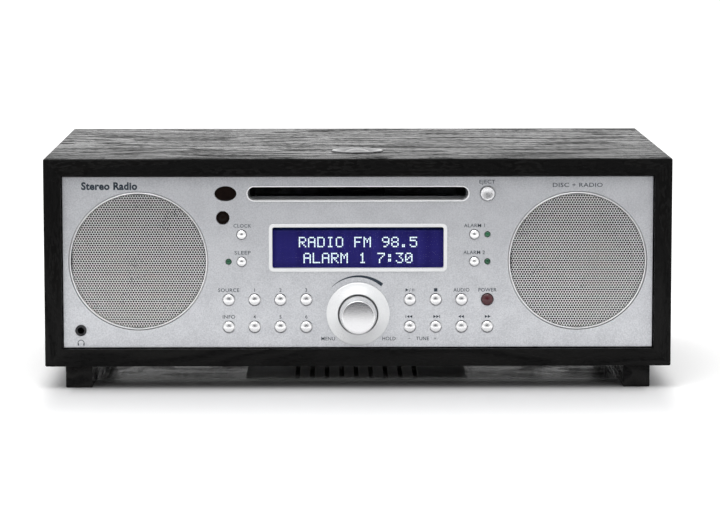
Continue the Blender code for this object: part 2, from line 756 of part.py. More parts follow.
def make_knob_and_encoder():
    """The knob's shaft slides through a rotor, which turns in a housing on the key board."""
    where = on_panel(0, KNOB_UP)
    back = -BOARD_BEHIND + REST_GAP
    front = back + ENCODER_DEPTH
    cavity_floor = back + ENCODER_WALL
    cavity_top = front - ENCODER_WALL
    inner = ENCODER_RADIUS - ENCODER_WALL
    hole = SHAFT_RADIUS + SLIDE_GAP
    housing = [
        (0, cavity_floor),
        (inner, cavity_floor),
        (inner, cavity_top),
        (hole, cavity_top),
        (hole, front),
        (ENCODER_RADIUS, front),
        (ENCODER_RADIUS, back),
        (0, back),
    ]
    turned("encoder_housing", housing, where, FORWARD, 16, GALVANISED)

    outer = inner - SLIDE_GAP
    high = cavity_top - SLIDE_GAP
    low = high - ROTOR_THICK
    rotor = [(hole, low), (hole, high), (outer, high), (outer, low)]
    turned("encoder_rotor", rotor, where, FORWARD, 16, BLACK_PLASTIC, ring=True)

    face = PANEL_RECESS + KNOB_REACH
    shaft_end = cavity_floor + KNOB_TRAVEL + REST_GAP
    knob = [
        (0, face),
        (KNOB_FRONT_RADIUS - KNOB_FRONT_EDGE, face),
        (KNOB_FRONT_RADIUS, face - KNOB_FRONT_EDGE),
        (KNOB_BASE_RADIUS, SURROUND_PROUD / 2),
        (KNOB_BASE_RADIUS, 0),
        (SHAFT_RADIUS, 0),
        (SHAFT_RADIUS, shaft_end),
        (0, shaft_end),
    ]
    turned("volume_knob", knob, where, FORWARD, 24, SATIN_CHROME)


# ---------------------------------------------------------------- keys, lamps and sensors
def make_keys():
    """Each key has a domed cap, a lip that keeps it behind the panel and a stem to its switch."""
    lip_front = -PANEL_THICK - REST_GAP
    lip_back = lip_front - KEY_LIP
    stem_end = -BOARD_BEHIND + SWITCH_HEIGHT + KEY_TRAVEL + REST_GAP
    for name, x, up, radius, finish in key_layout():
        lip = radius + KEY_GAP + KEY_LIP / 2
        profile = [
            (0, KEY_PROUD),
            (radius * 0.6, KEY_PROUD - (KEY_PROUD - KEY_EDGE_PROUD) * 0.4),
            (radius, KEY_EDGE_PROUD),
            (radius, lip_front),
            (lip, lip_front),
            (lip, lip_back),
            (STEM_RADIUS, lip_back),
            (STEM_RADIUS, stem_end),
            (0, stem_end),
        ]
        turned(name, profile, on_panel(x, up), FORWARD, 10, finish)


def make_lamps():
    """Light guides from the key board to the face of the panel."""
    back = -BOARD_BEHIND + REST_GAP
    for name, x, up in lamp_layout():
        profile = [(0, LAMP_PROUD), (LAMP_RADIUS, LAMP_PROUD / 3), (LAMP_RADIUS, back), (0, back)]
        turned(name, profile, on_panel(x, up), FORWARD, 10, GREEN_LENS)


def make_sensors():
    back = -BOARD_BEHIND + REST_GAP
    oval = oval_outline(REMOTE_WIDTH, REMOTE_HEIGHT, 20)
    where = (REMOTE_X, PANEL_FACE, SLOT_Z)
    sheet("remote_window", oval, back, REMOTE_PROUD, where, FORWARD, SMOKED_LENS)

    inner = SENSOR_RADIUS - SENSOR_RIM
    profile = [
        (0, 0),
        (inner, 0),
        (inner, SENSOR_PROUD),
        (SENSOR_RADIUS, SENSOR_PROUD),
        (SENSOR_RADIUS, back),
        (0, back),
    ]
    where = (SENSOR_X, PANEL_FACE, SLOT_Z - SENSOR_BELOW_SLOT)
    turned("light_sensor", profile, where, FORWARD, 16, SMOKED_LENS)


def make_headphone_socket():
    behind = -PANEL_THICK - REST_GAP
    bore_end = PHONES_END_WALL - PHONES_DEPTH
    profile = [
        (0, bore_end),
        (PHONES_BORE_RADIUS, bore_end),
        (PHONES_BORE_RADIUS, PHONES_NUT_PROUD),
        (PHONES_NUT_RADIUS, PHONES_NUT_PROUD - REST_GAP),
        (PHONES_NUT_RADIUS, REST_GAP),
        (PHONES_BARREL_RADIUS, REST_GAP),
        (PHONES_BARREL_RADIUS, behind),
        (PHONES_BODY_RADIUS, behind),
        (PHONES_BODY_RADIUS, -PHONES_DEPTH),
        (0, -PHONES_DEPTH),
    ]
    where = on_panel(PHONES_X, PHONES_UP)
    turned("headphone_socket", profile, where, FORWARD, 12, SATIN_CHROME)


# ---------------------------------------------------------------- circuit boards
def make_key_board():
    """The board behind the panel, with one push switch for each key and a gap for the slot."""
    low = (-BOARD_HALF, BOARD_FACE, FLOOR_INSIDE + OVERRUN)
    high = (BOARD_HALF, BOARD_FACE + BOARD_THICK, SLOT_Z + BOARD_MARGIN)
    board = block("key_board", low, high, GREEN_BOARD)
    switches = []
    half = SWITCH_SIZE / 2
    for _, x, up, _, _ in key_layout():
        low = (x - half, BOARD_FACE - SWITCH_HEIGHT, BASE + up - half)
        high = (x + half, BOARD_FACE + SOLDER, BASE + up + half)
        switches.append(block("switch", low, high))
    combine(board, switches, "UNION")
    gap = 2 * PLAY
    throat = slot_outline(NECK_LENGTH + gap, NECK_HEIGHT + gap, 6)
    deep = -BOARD_THICK - OVERRUN
    where = (0, BOARD_FACE, SLOT_Z)
    combine(board, [sheet("board_slot", throat, deep, OVERRUN, where, FORWARD)])


def make_main_board():
    """Hangs under the disc drive: the board, a heat sink and a block of connectors."""
    top = DRIVE_UNDERSIDE - STANDOFF
    middle_y = (DRIVE_FRONT + DRIVE_BACK) / 2
    half_x = MAIN_BOARD_WIDTH / 2
    half_y = MAIN_BOARD_DEPTH / 2
    low = (-half_x, middle_y - half_y, top - BOARD_THICK)
    high = (half_x, middle_y + half_y, top)
    board = block("main_board", low, high, GREEN_BOARD)
    fitted_top = top + STANDOFF - OVERRUN
    low = (half_x / 2, middle_y - half_y + OVERRUN, top - SOLDER)
    high = (half_x - OVERRUN, middle_y + half_y / 2, fitted_top)
    fitted = [block("heat_sink", low, high)]
    low = (OVERRUN - half_x, middle_y + half_y / 3, top - SOLDER)
    high = (-half_x / 2, middle_y + half_y - OVERRUN, fitted_top)
    fitted.append(block("connectors", low, high))
    combine(board, fitted, "UNION")


# ---------------------------------------------------------------- disc drive
def make_slot_trim():
    """Rim round the disc slot, with a throat that leads the disc to the drive."""
    where = (0, PANEL_FACE, SLOT_Z)
    rim = slot_outline(SLOT_LENGTH, SLOT_HEIGHT, 8)
    neck = slot_outline(NECK_LENGTH, NECK_HEIGHT, 8)
    throat = slot_outline(THROAT_LENGTH, THROAT_HEIGHT, 8)
    middle = (REST_GAP + SLOT_PROUD) / 2
    trim = sheet("slot_trim", rim, REST_GAP, SLOT_PROUD, where, FORWARD, PEARL_PLASTIC)
    sleeve = sheet("slot_sleeve", neck, -THROAT_DEPTH, middle, where, FORWARD)
    combine(trim, [sleeve], "UNION")
    inside = sheet("slot_inside", throat, -THROAT_DEPTH - OVERRUN, OVERRUN, where, FORWARD)
    combine(trim, [inside])


def make_drive_chassis():
    """Open tray for the disc, with a can for the spindle motor and two rails for the laser."""
    low = (-DRIVE_HALF, DRIVE_FRONT, DRIVE_UNDERSIDE)
    high = (DRIVE_HALF, DRIVE_BACK, DRIVE_TOP)
    chassis = block("drive_chassis", low, high, GALVANISED)
    inner = DRIVE_HALF - DRIVE_WALL
    low = (-inner, DRIVE_FRONT + DRIVE_WALL, DRIVE_FLOOR)
    high = (inner, DRIVE_BACK - DRIVE_WALL, DRIVE_TOP + OVERRUN)
    inside = block("tray_inside", low, high)
    low = (-inner, DRIVE_FRONT - OVERRUN, DISC_UNDERSIDE)
    high = (inner, DRIVE_FRONT + 2 * DRIVE_WALL, DRIVE_TOP + OVERRUN)
    mouth = block("tray_mouth", low, high)
    middle = (0, ROLLER_Y, ROLLER_Z)
    hole = AXLE_RADIUS + SLIDE_GAP
    reach = DRIVE_HALF + OVERRUN
    bearing = cylinder("axle_hole", hole, -reach, reach, middle, SIDEWAYS, 12)
    combine(chassis, [inside, mouth, bearing])

    can_floor = DRIVE_UNDERSIDE - MOTOR_DEPTH
    where = (0, DISC_Y, 0)
    middle = (DRIVE_UNDERSIDE + DRIVE_FLOOR) / 2
    added = [cylinder("motor_can", MOTOR_RADIUS, can_floor, middle, where, UPWARD, 20)]
    rail_start = DISC_Y + TABLE_RADIUS
    rail_end = DRIVE_BACK - DRIVE_WALL - PLAY
    for side in (-1, 1):
        low = (side * RAIL_X - RAIL_WIDTH / 2, rail_start, middle)
        high = (side * RAIL_X + RAIL_WIDTH / 2, rail_end, DRIVE_FLOOR + RAIL_HEIGHT)
        added.append(block("rail", low, high))
    combine(chassis, added, "UNION")

    bore = SPINDLE_RADIUS + SLIDE_GAP
    bore_floor = DRIVE_UNDERSIDE - MOTOR_DEPTH / 2 - REST_GAP
    bore_top = DRIVE_FLOOR + OVERRUN
    combine(chassis, [cylinder("spindle_bore", bore, bore_floor, bore_top, where, UPWARD, 12)])


def make_disc_roller():
    inner = DRIVE_HALF - DRIVE_WALL
    end = inner - ROLLER_END_GAP
    axle = DRIVE_HALF - REST_GAP
    profile = [
        (0, axle),
        (AXLE_RADIUS, axle),
        (AXLE_RADIUS, end),
        (ROLLER_RADIUS, end),
        (ROLLER_RADIUS, -end),
        (AXLE_RADIUS, -end),
        (AXLE_RADIUS, -axle),
        (0, -axle),
    ]
    turned("disc_roller", profile, (0, ROLLER_Y, ROLLER_Z), SIDEWAYS, 12, ROLLER_RUBBER)


def make_disc_spindle():
    hub_top = DISC_UNDERSIDE - REST_GAP
    table_top = hub_top - HUB_HEIGHT
    table_low = table_top - TABLE_THICK
    shaft_end = DRIVE_UNDERSIDE - MOTOR_DEPTH / 2
    profile = [
        (0, hub_top),
        (HUB_RADIUS * 0.8, hub_top),
        (HUB_RADIUS, table_top),
        (TABLE_RADIUS, table_top),
        (TABLE_RADIUS, table_low),
        (SPINDLE_RADIUS, table_low),
        (SPINDLE_RADIUS, shaft_end),
        (0, shaft_end),
    ]
    turned("disc_spindle", profile, (0, DISC_Y, 0), UPWARD, 16, BLACK_PLASTIC)


def make_laser_sled():
    """The laser unit on its rails, at the innermost track, with its lens on top."""
    start = DISC_Y + TABLE_RADIUS + PLAY
    base = DRIVE_FLOOR + RAIL_HEIGHT + SLIDE_GAP
    low = (-SLED_WIDTH / 2, start, base)
    high = (SLED_WIDTH / 2, start + SLED_LENGTH, base + SLED_HEIGHT)
    sled = block("laser_sled", low, high, BLACK_PLASTIC)
    where = (0, start + SLED_LENGTH / 2, base + SLED_HEIGHT)
    lens = cylinder("laser_lens", LENS_RADIUS, -SLED_HEIGHT / 2, LENS_HEIGHT, where, UPWARD, 12)
    combine(sled, [lens], "UNION")


# ---------------------------------------------------------------- power and rear connections
def make_transformer():
    middle_y = FRONT + CORE_BEHIND_FRONT
    base = FLOOR_INSIDE + REST_GAP
    low = (CORE_X - CORE_WIDTH / 2, middle_y - CORE_DEPTH / 2, base)
    high = (CORE_X + CORE_WIDTH / 2, middle_y + CORE_DEPTH / 2, base + CORE_HEIGHT)
    core = block("transformer", low, high, GALVANISED)
    overhang = CORE_DEPTH / 2 + COIL_OVERHANG
    low = (low[0] + COIL_INSET, middle_y - overhang, base + COIL_INSET)
    high = (high[0] - COIL_INSET, middle_y + overhang, base + CORE_HEIGHT - COIL_INSET)
    combine(core, [block("winding", low, high)], "UNION")


def socket_places():
    """The middle of each round signal socket on the back panel, as (x, z)."""
    places = []
    for column in range(SOCKET_COLUMNS):
        for row in range(SOCKET_ROWS):
            x = SOCKETS_X + (column - (SOCKET_COLUMNS - 1) / 2) * SOCKET_PITCH
            up = SOCKETS_UP + (row - (SOCKET_ROWS - 1) / 2) * SOCKET_PITCH
            places.append((x, BASE + up))
    return places


def make_back_panel():
    low = (-PANEL_WIDTH / 2, BACK_INSIDE, FLOOR_INSIDE + PANEL_GAP)
    high = (PANEL_WIDTH / 2, BACK_OUTSIDE, TOP - CASE_WALL - PANEL_GAP)
    panel = block("back_panel", low, high, BLACK_PLASTIC)

    half_x = INLET_WIDTH / 2 + SLIDE_GAP
    half_z = INLET_HEIGHT / 2 + SLIDE_GAP
    low = (INLET_X - half_x, BACK_INSIDE - OVERRUN, BASE + INLET_UP - half_z)
    high = (INLET_X + half_x, BACK_OUTSIDE + OVERRUN, BASE + INLET_UP + half_z)
    cuts = [block("inlet_hole", low, high)]
    deep = -BACK_THICK - OVERRUN
    round_holes = [(x, z, SOCKET_RADIUS) for x, z in socket_places()]
    round_holes.append((AERIAL_X, BASE + AERIAL_UP, AERIAL_RADIUS))
    for x, z, radius in round_holes:
        where = (x, BACK_OUTSIDE, z)
        hole = radius + SLIDE_GAP
        cuts.append(cylinder("socket_hole", hole, deep, OVERRUN, where, BACKWARD, 12))
    upright = [(-y, x) for x, y in slot_outline(VENT_LENGTH, VENT_WIDTH, 4)]
    for number in range(VENT_COUNT):
        x = (number - (VENT_COUNT - 1) / 2) * VENT_PITCH
        where = (x, BACK_OUTSIDE, BASE + VENT_UP)
        cuts.append(sheet("vent", upright, deep, OVERRUN, where, BACKWARD))
    combine(panel, cuts)


def make_audio_sockets():
    """A moulded block behind the back panel, with its round sockets through it."""
    places = socket_places()
    margin = SOCKET_PITCH / 2
    low = (places[0][0] - margin, BACK_INSIDE - REST_GAP - SOCKET_DEPTH, places[0][1] - margin)
    high = (places[-1][0] + margin, BACK_INSIDE - REST_GAP, places[-1][1] + margin)
    sockets = block("audio_sockets", low, high, BLACK_PLASTIC)
    barrels = []
    root = -BACK_THICK - REST_GAP - SOCKET_DEPTH / 2
    for x, z in places:
        where = (x, BACK_OUTSIDE, z)
        barrels.append(cylinder("socket", SOCKET_RADIUS, root, SOCKET_REACH, where, BACKWARD, 12))
    combine(sockets, barrels, "UNION")


def make_aerial_socket():
    behind = -BACK_THICK - REST_GAP
    flange_back = behind - OVERRUN
    profile = [
        (0, behind),
        (AERIAL_BORE, behind),
        (AERIAL_BORE, AERIAL_REACH),
        (AERIAL_RADIUS, AERIAL_REACH),
        (AERIAL_RADIUS, behind),
        (AERIAL_FLANGE, behind),
        (AERIAL_FLANGE, flange_back),
        (0, flange_back),
    ]
    where = (AERIAL_X, BACK_OUTSIDE, BASE + AERIAL_UP)
    turned("aerial_socket", profile, where, BACKWARD, 12, SATIN_CHROME)


def make_mains_inlet():
    """Two-pin inlet through the back panel: a slot-shaped recess with its pins."""
    where = (INLET_X, BACK_OUTSIDE, BASE + INLET_UP)
    low = (INLET_X - INLET_WIDTH / 2, BACK_OUTSIDE - INLET_DEPTH, where[2] - INLET_HEIGHT / 2)
    high = (INLET_X + INLET_WIDTH / 2, BACK_OUTSIDE, where[2] + INLET_HEIGHT / 2)
    inlet = block("mains_inlet", low, high, BLACK_PLASTIC)
    recess = slot_outline(INLET_RECESS_WIDTH, INLET_RECESS_HEIGHT, 8)
    deep = -INLET_RECESS_DEPTH
    combine(inlet, [sheet("inlet_recess", recess, deep, OVERRUN, where, BACKWARD)])
    pins = []
    for side in (-1, 1):
        middle = (INLET_X + side * INLET_PIN_PITCH / 2, BACK_OUTSIDE, where[2])
        root = deep - OVERRUN
        pins.append(cylinder("pin", INLET_PIN_RADIUS, root, -OVERRUN, middle, BACKWARD, 8))
    combine(inlet, pins, "UNION")


# ---------------------------------------------------------------- the whole object
make_case()
make_feet()
make_touch_disc()
make_front_panel()
make_speakers()
make_woofer_guard()
make_display()
make_knob_surround()
make_knob_and_encoder()
make_keys()
make_lamps()
make_sensors()
make_headphone_socket()
make_key_board()
make_main_board()
make_slot_trim()
make_drive_chassis()
make_disc_roller()
make_disc_spindle()
make_laser_sled()
make_transformer()
make_back_panel()
make_audio_sockets()
make_aerial_socket()
make_mains_inlet()
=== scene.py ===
import math

import bpy
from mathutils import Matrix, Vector


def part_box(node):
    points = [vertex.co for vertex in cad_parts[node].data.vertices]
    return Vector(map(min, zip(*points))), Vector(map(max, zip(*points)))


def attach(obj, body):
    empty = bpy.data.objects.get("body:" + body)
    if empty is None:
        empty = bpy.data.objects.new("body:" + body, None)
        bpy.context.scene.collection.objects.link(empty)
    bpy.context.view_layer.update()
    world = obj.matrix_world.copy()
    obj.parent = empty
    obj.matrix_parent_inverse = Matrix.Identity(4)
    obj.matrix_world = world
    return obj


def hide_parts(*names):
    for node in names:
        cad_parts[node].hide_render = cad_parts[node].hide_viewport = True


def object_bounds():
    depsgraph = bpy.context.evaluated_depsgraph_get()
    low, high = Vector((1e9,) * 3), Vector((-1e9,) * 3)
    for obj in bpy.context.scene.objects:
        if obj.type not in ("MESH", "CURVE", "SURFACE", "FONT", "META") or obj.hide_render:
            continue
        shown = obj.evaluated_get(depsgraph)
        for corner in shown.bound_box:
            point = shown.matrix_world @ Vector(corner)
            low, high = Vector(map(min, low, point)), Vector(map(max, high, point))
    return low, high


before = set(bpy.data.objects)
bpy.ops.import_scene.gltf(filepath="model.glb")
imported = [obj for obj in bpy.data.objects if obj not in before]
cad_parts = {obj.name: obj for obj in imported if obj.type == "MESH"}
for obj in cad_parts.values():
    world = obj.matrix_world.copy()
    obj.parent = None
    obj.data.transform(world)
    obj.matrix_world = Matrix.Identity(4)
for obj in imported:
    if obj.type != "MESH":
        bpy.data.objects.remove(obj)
cad_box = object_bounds()

# ------------------------------------------------------------------------------ the set
# A white seamless floor with a faint glow. Between the feet it turns glossy and is painted dark,
# a painted shade and reflection of the dark underside, and in front it has a painted grey shadow.
# The sky is white with a dark patch in front for the metal to pick up, and one large soft lamp
# hangs above, in front of the object.
LENS = 0.16212
camera_data = bpy.data.cameras.new("camera")
camera_data.sensor_width = 36.0
camera_data.lens = LENS * 1000
camera = bpy.data.objects.new("camera", camera_data)
camera.location = (-0.01576, -1.94596, 0.29087)
camera.rotation_euler = [math.radians(angle) for angle in (83.416, 0.036, -0.529)]
bpy.context.scene.collection.objects.link(camera)
bpy.context.scene.camera = camera
bpy.context.scene.view_settings.view_transform = "Standard"
bpy.context.scene.view_settings.look = "None"


def filled(tree, node, inputs):
    """Fills a node's inputs, by name or number, with values or links."""
    for key, value in dict(inputs).items():
        if isinstance(value, bpy.types.NodeSocket):
            tree.links.new(value, node.inputs[key])
        else:
            node.inputs[key].default_value = value
    return node


def node_of(tree, kind, inputs=(), **settings):
    """A new node with its settings and its inputs."""
    made = tree.nodes.new(kind)
    for name, value in settings.items():
        setattr(made, name, value)
    return filled(tree, made, inputs)


def calculated(tree, operation, *values):
    return node_of(tree, "ShaderNodeMath", enumerate(values), operation=operation).outputs[0]


def product(tree, *values):
    return calculated(tree, "MULTIPLY", *values)


def weighed(tree, first, second, part):
    """Two values added up, the first with a part of the weight and the second with the rest."""
    return calculated(tree, "ADD", product(tree, first, part), product(tree, second, 1 - part))


def remapped(tree, value, from_low, from_high, to_low=0.0, to_high=1.0):
    """The value carried smoothly from one range to another, and held at its ends."""
    inputs = {"Value": value, "From Min": from_low, "From Max": from_high}
    inputs.update({"To Min": to_low, "To Max": to_high})
    return node_of(tree, "ShaderNodeMapRange", inputs, interpolation_type="SMOOTHSTEP").outputs[0]


def blended(tree, share, first, second):
    """One colour turning into another with a share from 0 to 1."""
    inputs = {0: share}
    for place, value in ((6, first), (7, second)):
        inputs[place] = value if isinstance(value, bpy.types.NodeSocket) else (*value, 1.0)
    return node_of(tree, "ShaderNodeMix", inputs, data_type="RGBA").outputs[2]


def place_in(tree):
    return node_of(tree, "ShaderNodeTexCoord").outputs["Object"]


def axes_of(tree, vector):
    return node_of(tree, "ShaderNodeSeparateXYZ", {0: vector}).outputs


def vector_of(tree, values):
    return node_of(tree, "ShaderNodeCombineXYZ", values).outputs[0]


def new_finish(name):
    """A new material, with its node tree and its shader."""
    finish = bpy.data.materials.new(name)
    finish.use_nodes = True
    return finish, finish.node_tree, finish.node_tree.nodes["Principled BSDF"]


SKY_WHITE = (1.0, 1.0, 1.0)
SKY_PATCH = (0.06, 0.06, 0.07)
SKY_STRENGTH = 1.06
surroundings = bpy.data.worlds.new("surroundings")
surroundings.use_nodes = True
sky = surroundings.node_tree
direction = node_of(sky, "ShaderNodeTexCoord").outputs["Generated"]
towards_front = node_of(
    sky, "ShaderNodeVectorMath", {0: direction, 1: (0.0, -1.0, 0.0)}, operation="DOT_PRODUCT"
).outputs["Value"]
patch = remapped(sky, towards_front, 0.86, 0.985)
sky_colour = blended(sky, patch, SKY_WHITE, SKY_PATCH)
sky_lit = node_of(sky, "ShaderNodeBackground", {"Color": sky_colour, "Strength": SKY_STRENGTH})
sky_seen = node_of(sky, "ShaderNodeBackground", {"Color": (1.0, 1.0, 1.0, 1.0)})
seen = node_of(sky, "ShaderNodeLightPath").outputs["Is Camera Ray"]
sky_skins = {0: seen, 1: sky_lit.outputs[0], 2: sky_seen.outputs[0]}
sky_mix = node_of(sky, "ShaderNodeMixShader", sky_skins)
sky.links.new(sky_mix.outputs[0], sky.nodes["World Output"].inputs["Surface"])
bpy.context.scene.world = surroundings

bpy.ops.object.light_add(type="AREA", location=(-0.35, -1.1, 1.5))
soft_lamp = bpy.context.object
soft_lamp.rotation_euler = (math.radians(38), 0, math.radians(-14))
soft_lamp.data.shape = "RECTANGLE"
soft_lamp.data.size = 1.8
soft_lamp.data.size_y = 0.9
soft_lamp.data.energy = 16.0

FLOOR_FRONT = -0.56
FLOOR_BACK = 9.0
FLOOR_HALF = 5.0
bpy.ops.mesh.primitive_plane_add(size=1.0, location=(0, (FLOOR_FRONT + FLOOR_BACK) / 2, 0))
floor = bpy.context.object
floor.name = "floor"
floor.scale = (2 * FLOOR_HALF, FLOOR_BACK - FLOOR_FRONT, 1)
bpy.ops.object.transform_apply()
floor_finish, tree, paper = new_finish("white_floor")
spot = axes_of(tree, place_in(tree))
FEET_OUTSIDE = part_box("foot_right")[1].x
PAINTED_SHADOW_REACH = 0.150
WHITE_GLOW = 0.14
from_middle = calculated(tree, "ABSOLUTE", spot["X"])
# Painted shade: under the case, between the feet, the floor's colour turns near-black, standing in for
# the shade and the reflection of the dark underside.
inward = remapped(tree, spot["Y"], cad_box[0].y - 0.012, cad_box[0].y + 0.095)
between = remapped(tree, from_middle, FEET_OUTSIDE - 0.006, FEET_OUTSIDE - 0.001, 1.0, 0.0)
before_back = remapped(tree, spot["Y"], cad_box[1].y - 0.06, cad_box[1].y - 0.02, 1.0, 0.0)
under_gloss_and_painted_shade = product(tree, product(tree, inward, between), before_back)
# Painted shadow: a grey band on the floor in front of the case, darker towards the case.
close = remapped(tree, spot["Y"], cad_box[0].y - PAINTED_SHADOW_REACH, cad_box[0].y - 0.012)
abreast = remapped(tree, from_middle, cad_box[1].x - 0.012, cad_box[1].x + 0.012, 1.0, 0.0)
painted_front_shadow = product(tree, product(tree, close, abreast), before_back)
white = blended(tree, painted_front_shadow, (0.985, 0.985, 0.985), (0.70, 0.70, 0.705))
shaded = calculated(tree, "MAXIMUM", under_gloss_and_painted_shade, painted_front_shadow)
# The floor's glow fades where the painted shade and the painted shadow are.
paper_look = {
    "Base Color": blended(tree, under_gloss_and_painted_shade, white, (0.012, 0.012, 0.013)),
    "Roughness": remapped(tree, under_gloss_and_painted_shade, 0.0, 1.0, 0.75, 0.05),
    "IOR": 1.45,
    "Emission Color": (1.0, 1.0, 1.0, 1.0),
    "Emission Strength": remapped(tree, shaded, 0.0, 0.6, WHITE_GLOW, 0.0),
}
filled(tree, paper, paper_look)
floor.data.materials.append(floor_finish)

# ------------------------------------------------------------------------------ wooden case
# A sleeve of four 10 mm boards, mitred at the corners and veneered in open-grain ash that is
# stained black. The grain runs along the top and bottom and up the two sides.
case_low, case_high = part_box("case")
BOARD = 0.010
CASE_EDGE = 0.0010
MOUTH_EDGE = 0.0003
WOOFER_OPENING = 0.0500
TOUCH_SEAT_RADIUS = 0.0151
TOUCH_SEAT_DEPTH = 0.0018
THROUGH = 0.002
STAIN_DARK = (0.0012, 0.0012, 0.0013)
STAIN_LIGHT = (0.0062, 0.0060, 0.0058)
GRAIN_DEPTH = 0.00022


def alone(piece):
    bpy.ops.object.select_all(action="DESELECT")
    piece.select_set(True)
    bpy.context.view_layer.objects.active = piece


def shaped(piece, kind, **settings):
    """Gives a piece a modifier with these settings, and applies it."""
    alone(piece)
    modifier = piece.modifiers.new("shape", kind)
    for name, value in settings.items():
        setattr(modifier, name, value)
    bpy.ops.object.modifier_apply(modifier="shape")
    return piece


def started(name):
    """The object that was just added, with its name, and with its place and size in its mesh."""
    piece = bpy.context.object
    piece.name = name
    bpy.ops.object.transform_apply()
    return piece


def closed_up(merge=1e-6):
    """Ends an edit: merges the points that meet, and turns the faces outwards."""
    bpy.ops.mesh.select_all(action="SELECT")
    bpy.ops.mesh.remove_doubles(threshold=merge)
    bpy.ops.mesh.normals_make_consistent(inside=False)
    bpy.ops.object.mode_set(mode="OBJECT")


def sized_block(name, low, high):
    """A block between two corners."""
    low, high = Vector(low), Vector(high)
    bpy.ops.mesh.primitive_cube_add(size=1.0, location=(low + high) / 2)
    bpy.context.object.scale = high - low
    return started(name)


def softened(piece, width, segments=3, least_angle=50, clamp=True):
    """Rounds every edge that is sharper than an angle."""
    sharp = {"limit_method": "ANGLE", "angle_limit": math.radians(least_angle)}
    return shaped(piece, "BEVEL", width=width, segments=segments, use_clamp_overlap=clamp, **sharp)


def joined(pieces):
    """Several pieces made one mesh, under the first one's name."""
    alone(pieces[0])
    for piece in pieces:
        piece.select_set(True)
    if len(pieces) > 1:
        bpy.ops.object.join()
    return pieces[0]


def cut_from(piece, cutters, operation="DIFFERENCE"):
    """Cuts the other pieces out of this one, or with UNION adds them to it."""
    tool = joined(cutters)
    shaped(piece, "BOOLEAN", operation=operation, solver="EXACT", object=tool)
    bpy.data.objects.remove(tool)
    return piece


def turned(name, where, facing, sides, profile):
    """Rings, each pulled out of the last: (radius, height) from back to front and round."""
    smallest = 1e-7
    rings = [(max(radius, smallest), height) for radius, height in profile]
    first_radius, first_height = rings[0]
    bpy.ops.mesh.primitive_circle_add(
        vertices=sides, radius=first_radius, location=(0, 0, first_height)
    )
    piece = started(name)
    bpy.ops.object.mode_set(mode="EDIT")
    bpy.ops.mesh.select_all(action="SELECT")
    for (radius, height), (next_radius, next_height) in zip(rings, rings[1:]):
        step = {"value": (0, 0, next_height - height)}
        bpy.ops.mesh.extrude_region_move(TRANSFORM_OT_translate=step)
        share = next_radius / radius
        bpy.ops.transform.resize(value=(share, share, 1.0))
    closed_up()
    return placed(piece, where, facing)


def rod(radius, back, front):
    """The outline of a plain round rod."""
    return [(0, back), (radius, back), (radius, front), (0, front)]


def domed(radius, top, rise, *rings):
    """The outline of a shallow dome from its edge to its middle, at these shares of its radius."""
    return [(radius * ring, top - rise * ring * ring) for ring in rings] + [(0, top)]


def placed(piece, where, facing=(0, 0, 0)):
    """Turns a finished piece and moves it, and keeps both in its mesh."""
    alone(piece)
    piece.rotation_euler = facing
    piece.location = where
    bpy.ops.object.transform_apply()
    return piece


FORWARD = (math.pi / 2, 0, 0)
BACKWARD = (-math.pi / 2, 0, 0)
UPWARD = (0, 0, 0)
DOWNWARD = (math.pi, 0, 0)


def fitted(piece, finish, body, slot, *stands_for, smooth=35):
    """Gives a finished piece its material and its body, and hides the nodes that it stands for. Its
    slot is not used.
    """
    alone(piece)
    if smooth:
        bpy.ops.object.shade_smooth_by_angle(angle=math.radians(smooth))
    piece.data.materials.clear()
    piece.data.materials.append(finish)
    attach(piece, body)
    if stands_for:
        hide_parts(*stands_for)
    return piece


def noise(tree, vector, scale, detail=2.0, roughness=0.5):
    inputs = {"Vector": vector, "Scale": scale, "Detail": detail, "Roughness": roughness}
    return node_of(tree, "ShaderNodeTexNoise", inputs).outputs["Fac"]


def middle_of(node):
    return sum(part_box(node), Vector()) / 2


def bumped(tree, shader, height, distance, strength=1.0):
    inputs = {"Height": height, "Distance": distance, "Strength": strength}
    tree.links.new(node_of(tree, "ShaderNodeBump", inputs).outputs[0], shader.inputs["Normal"])


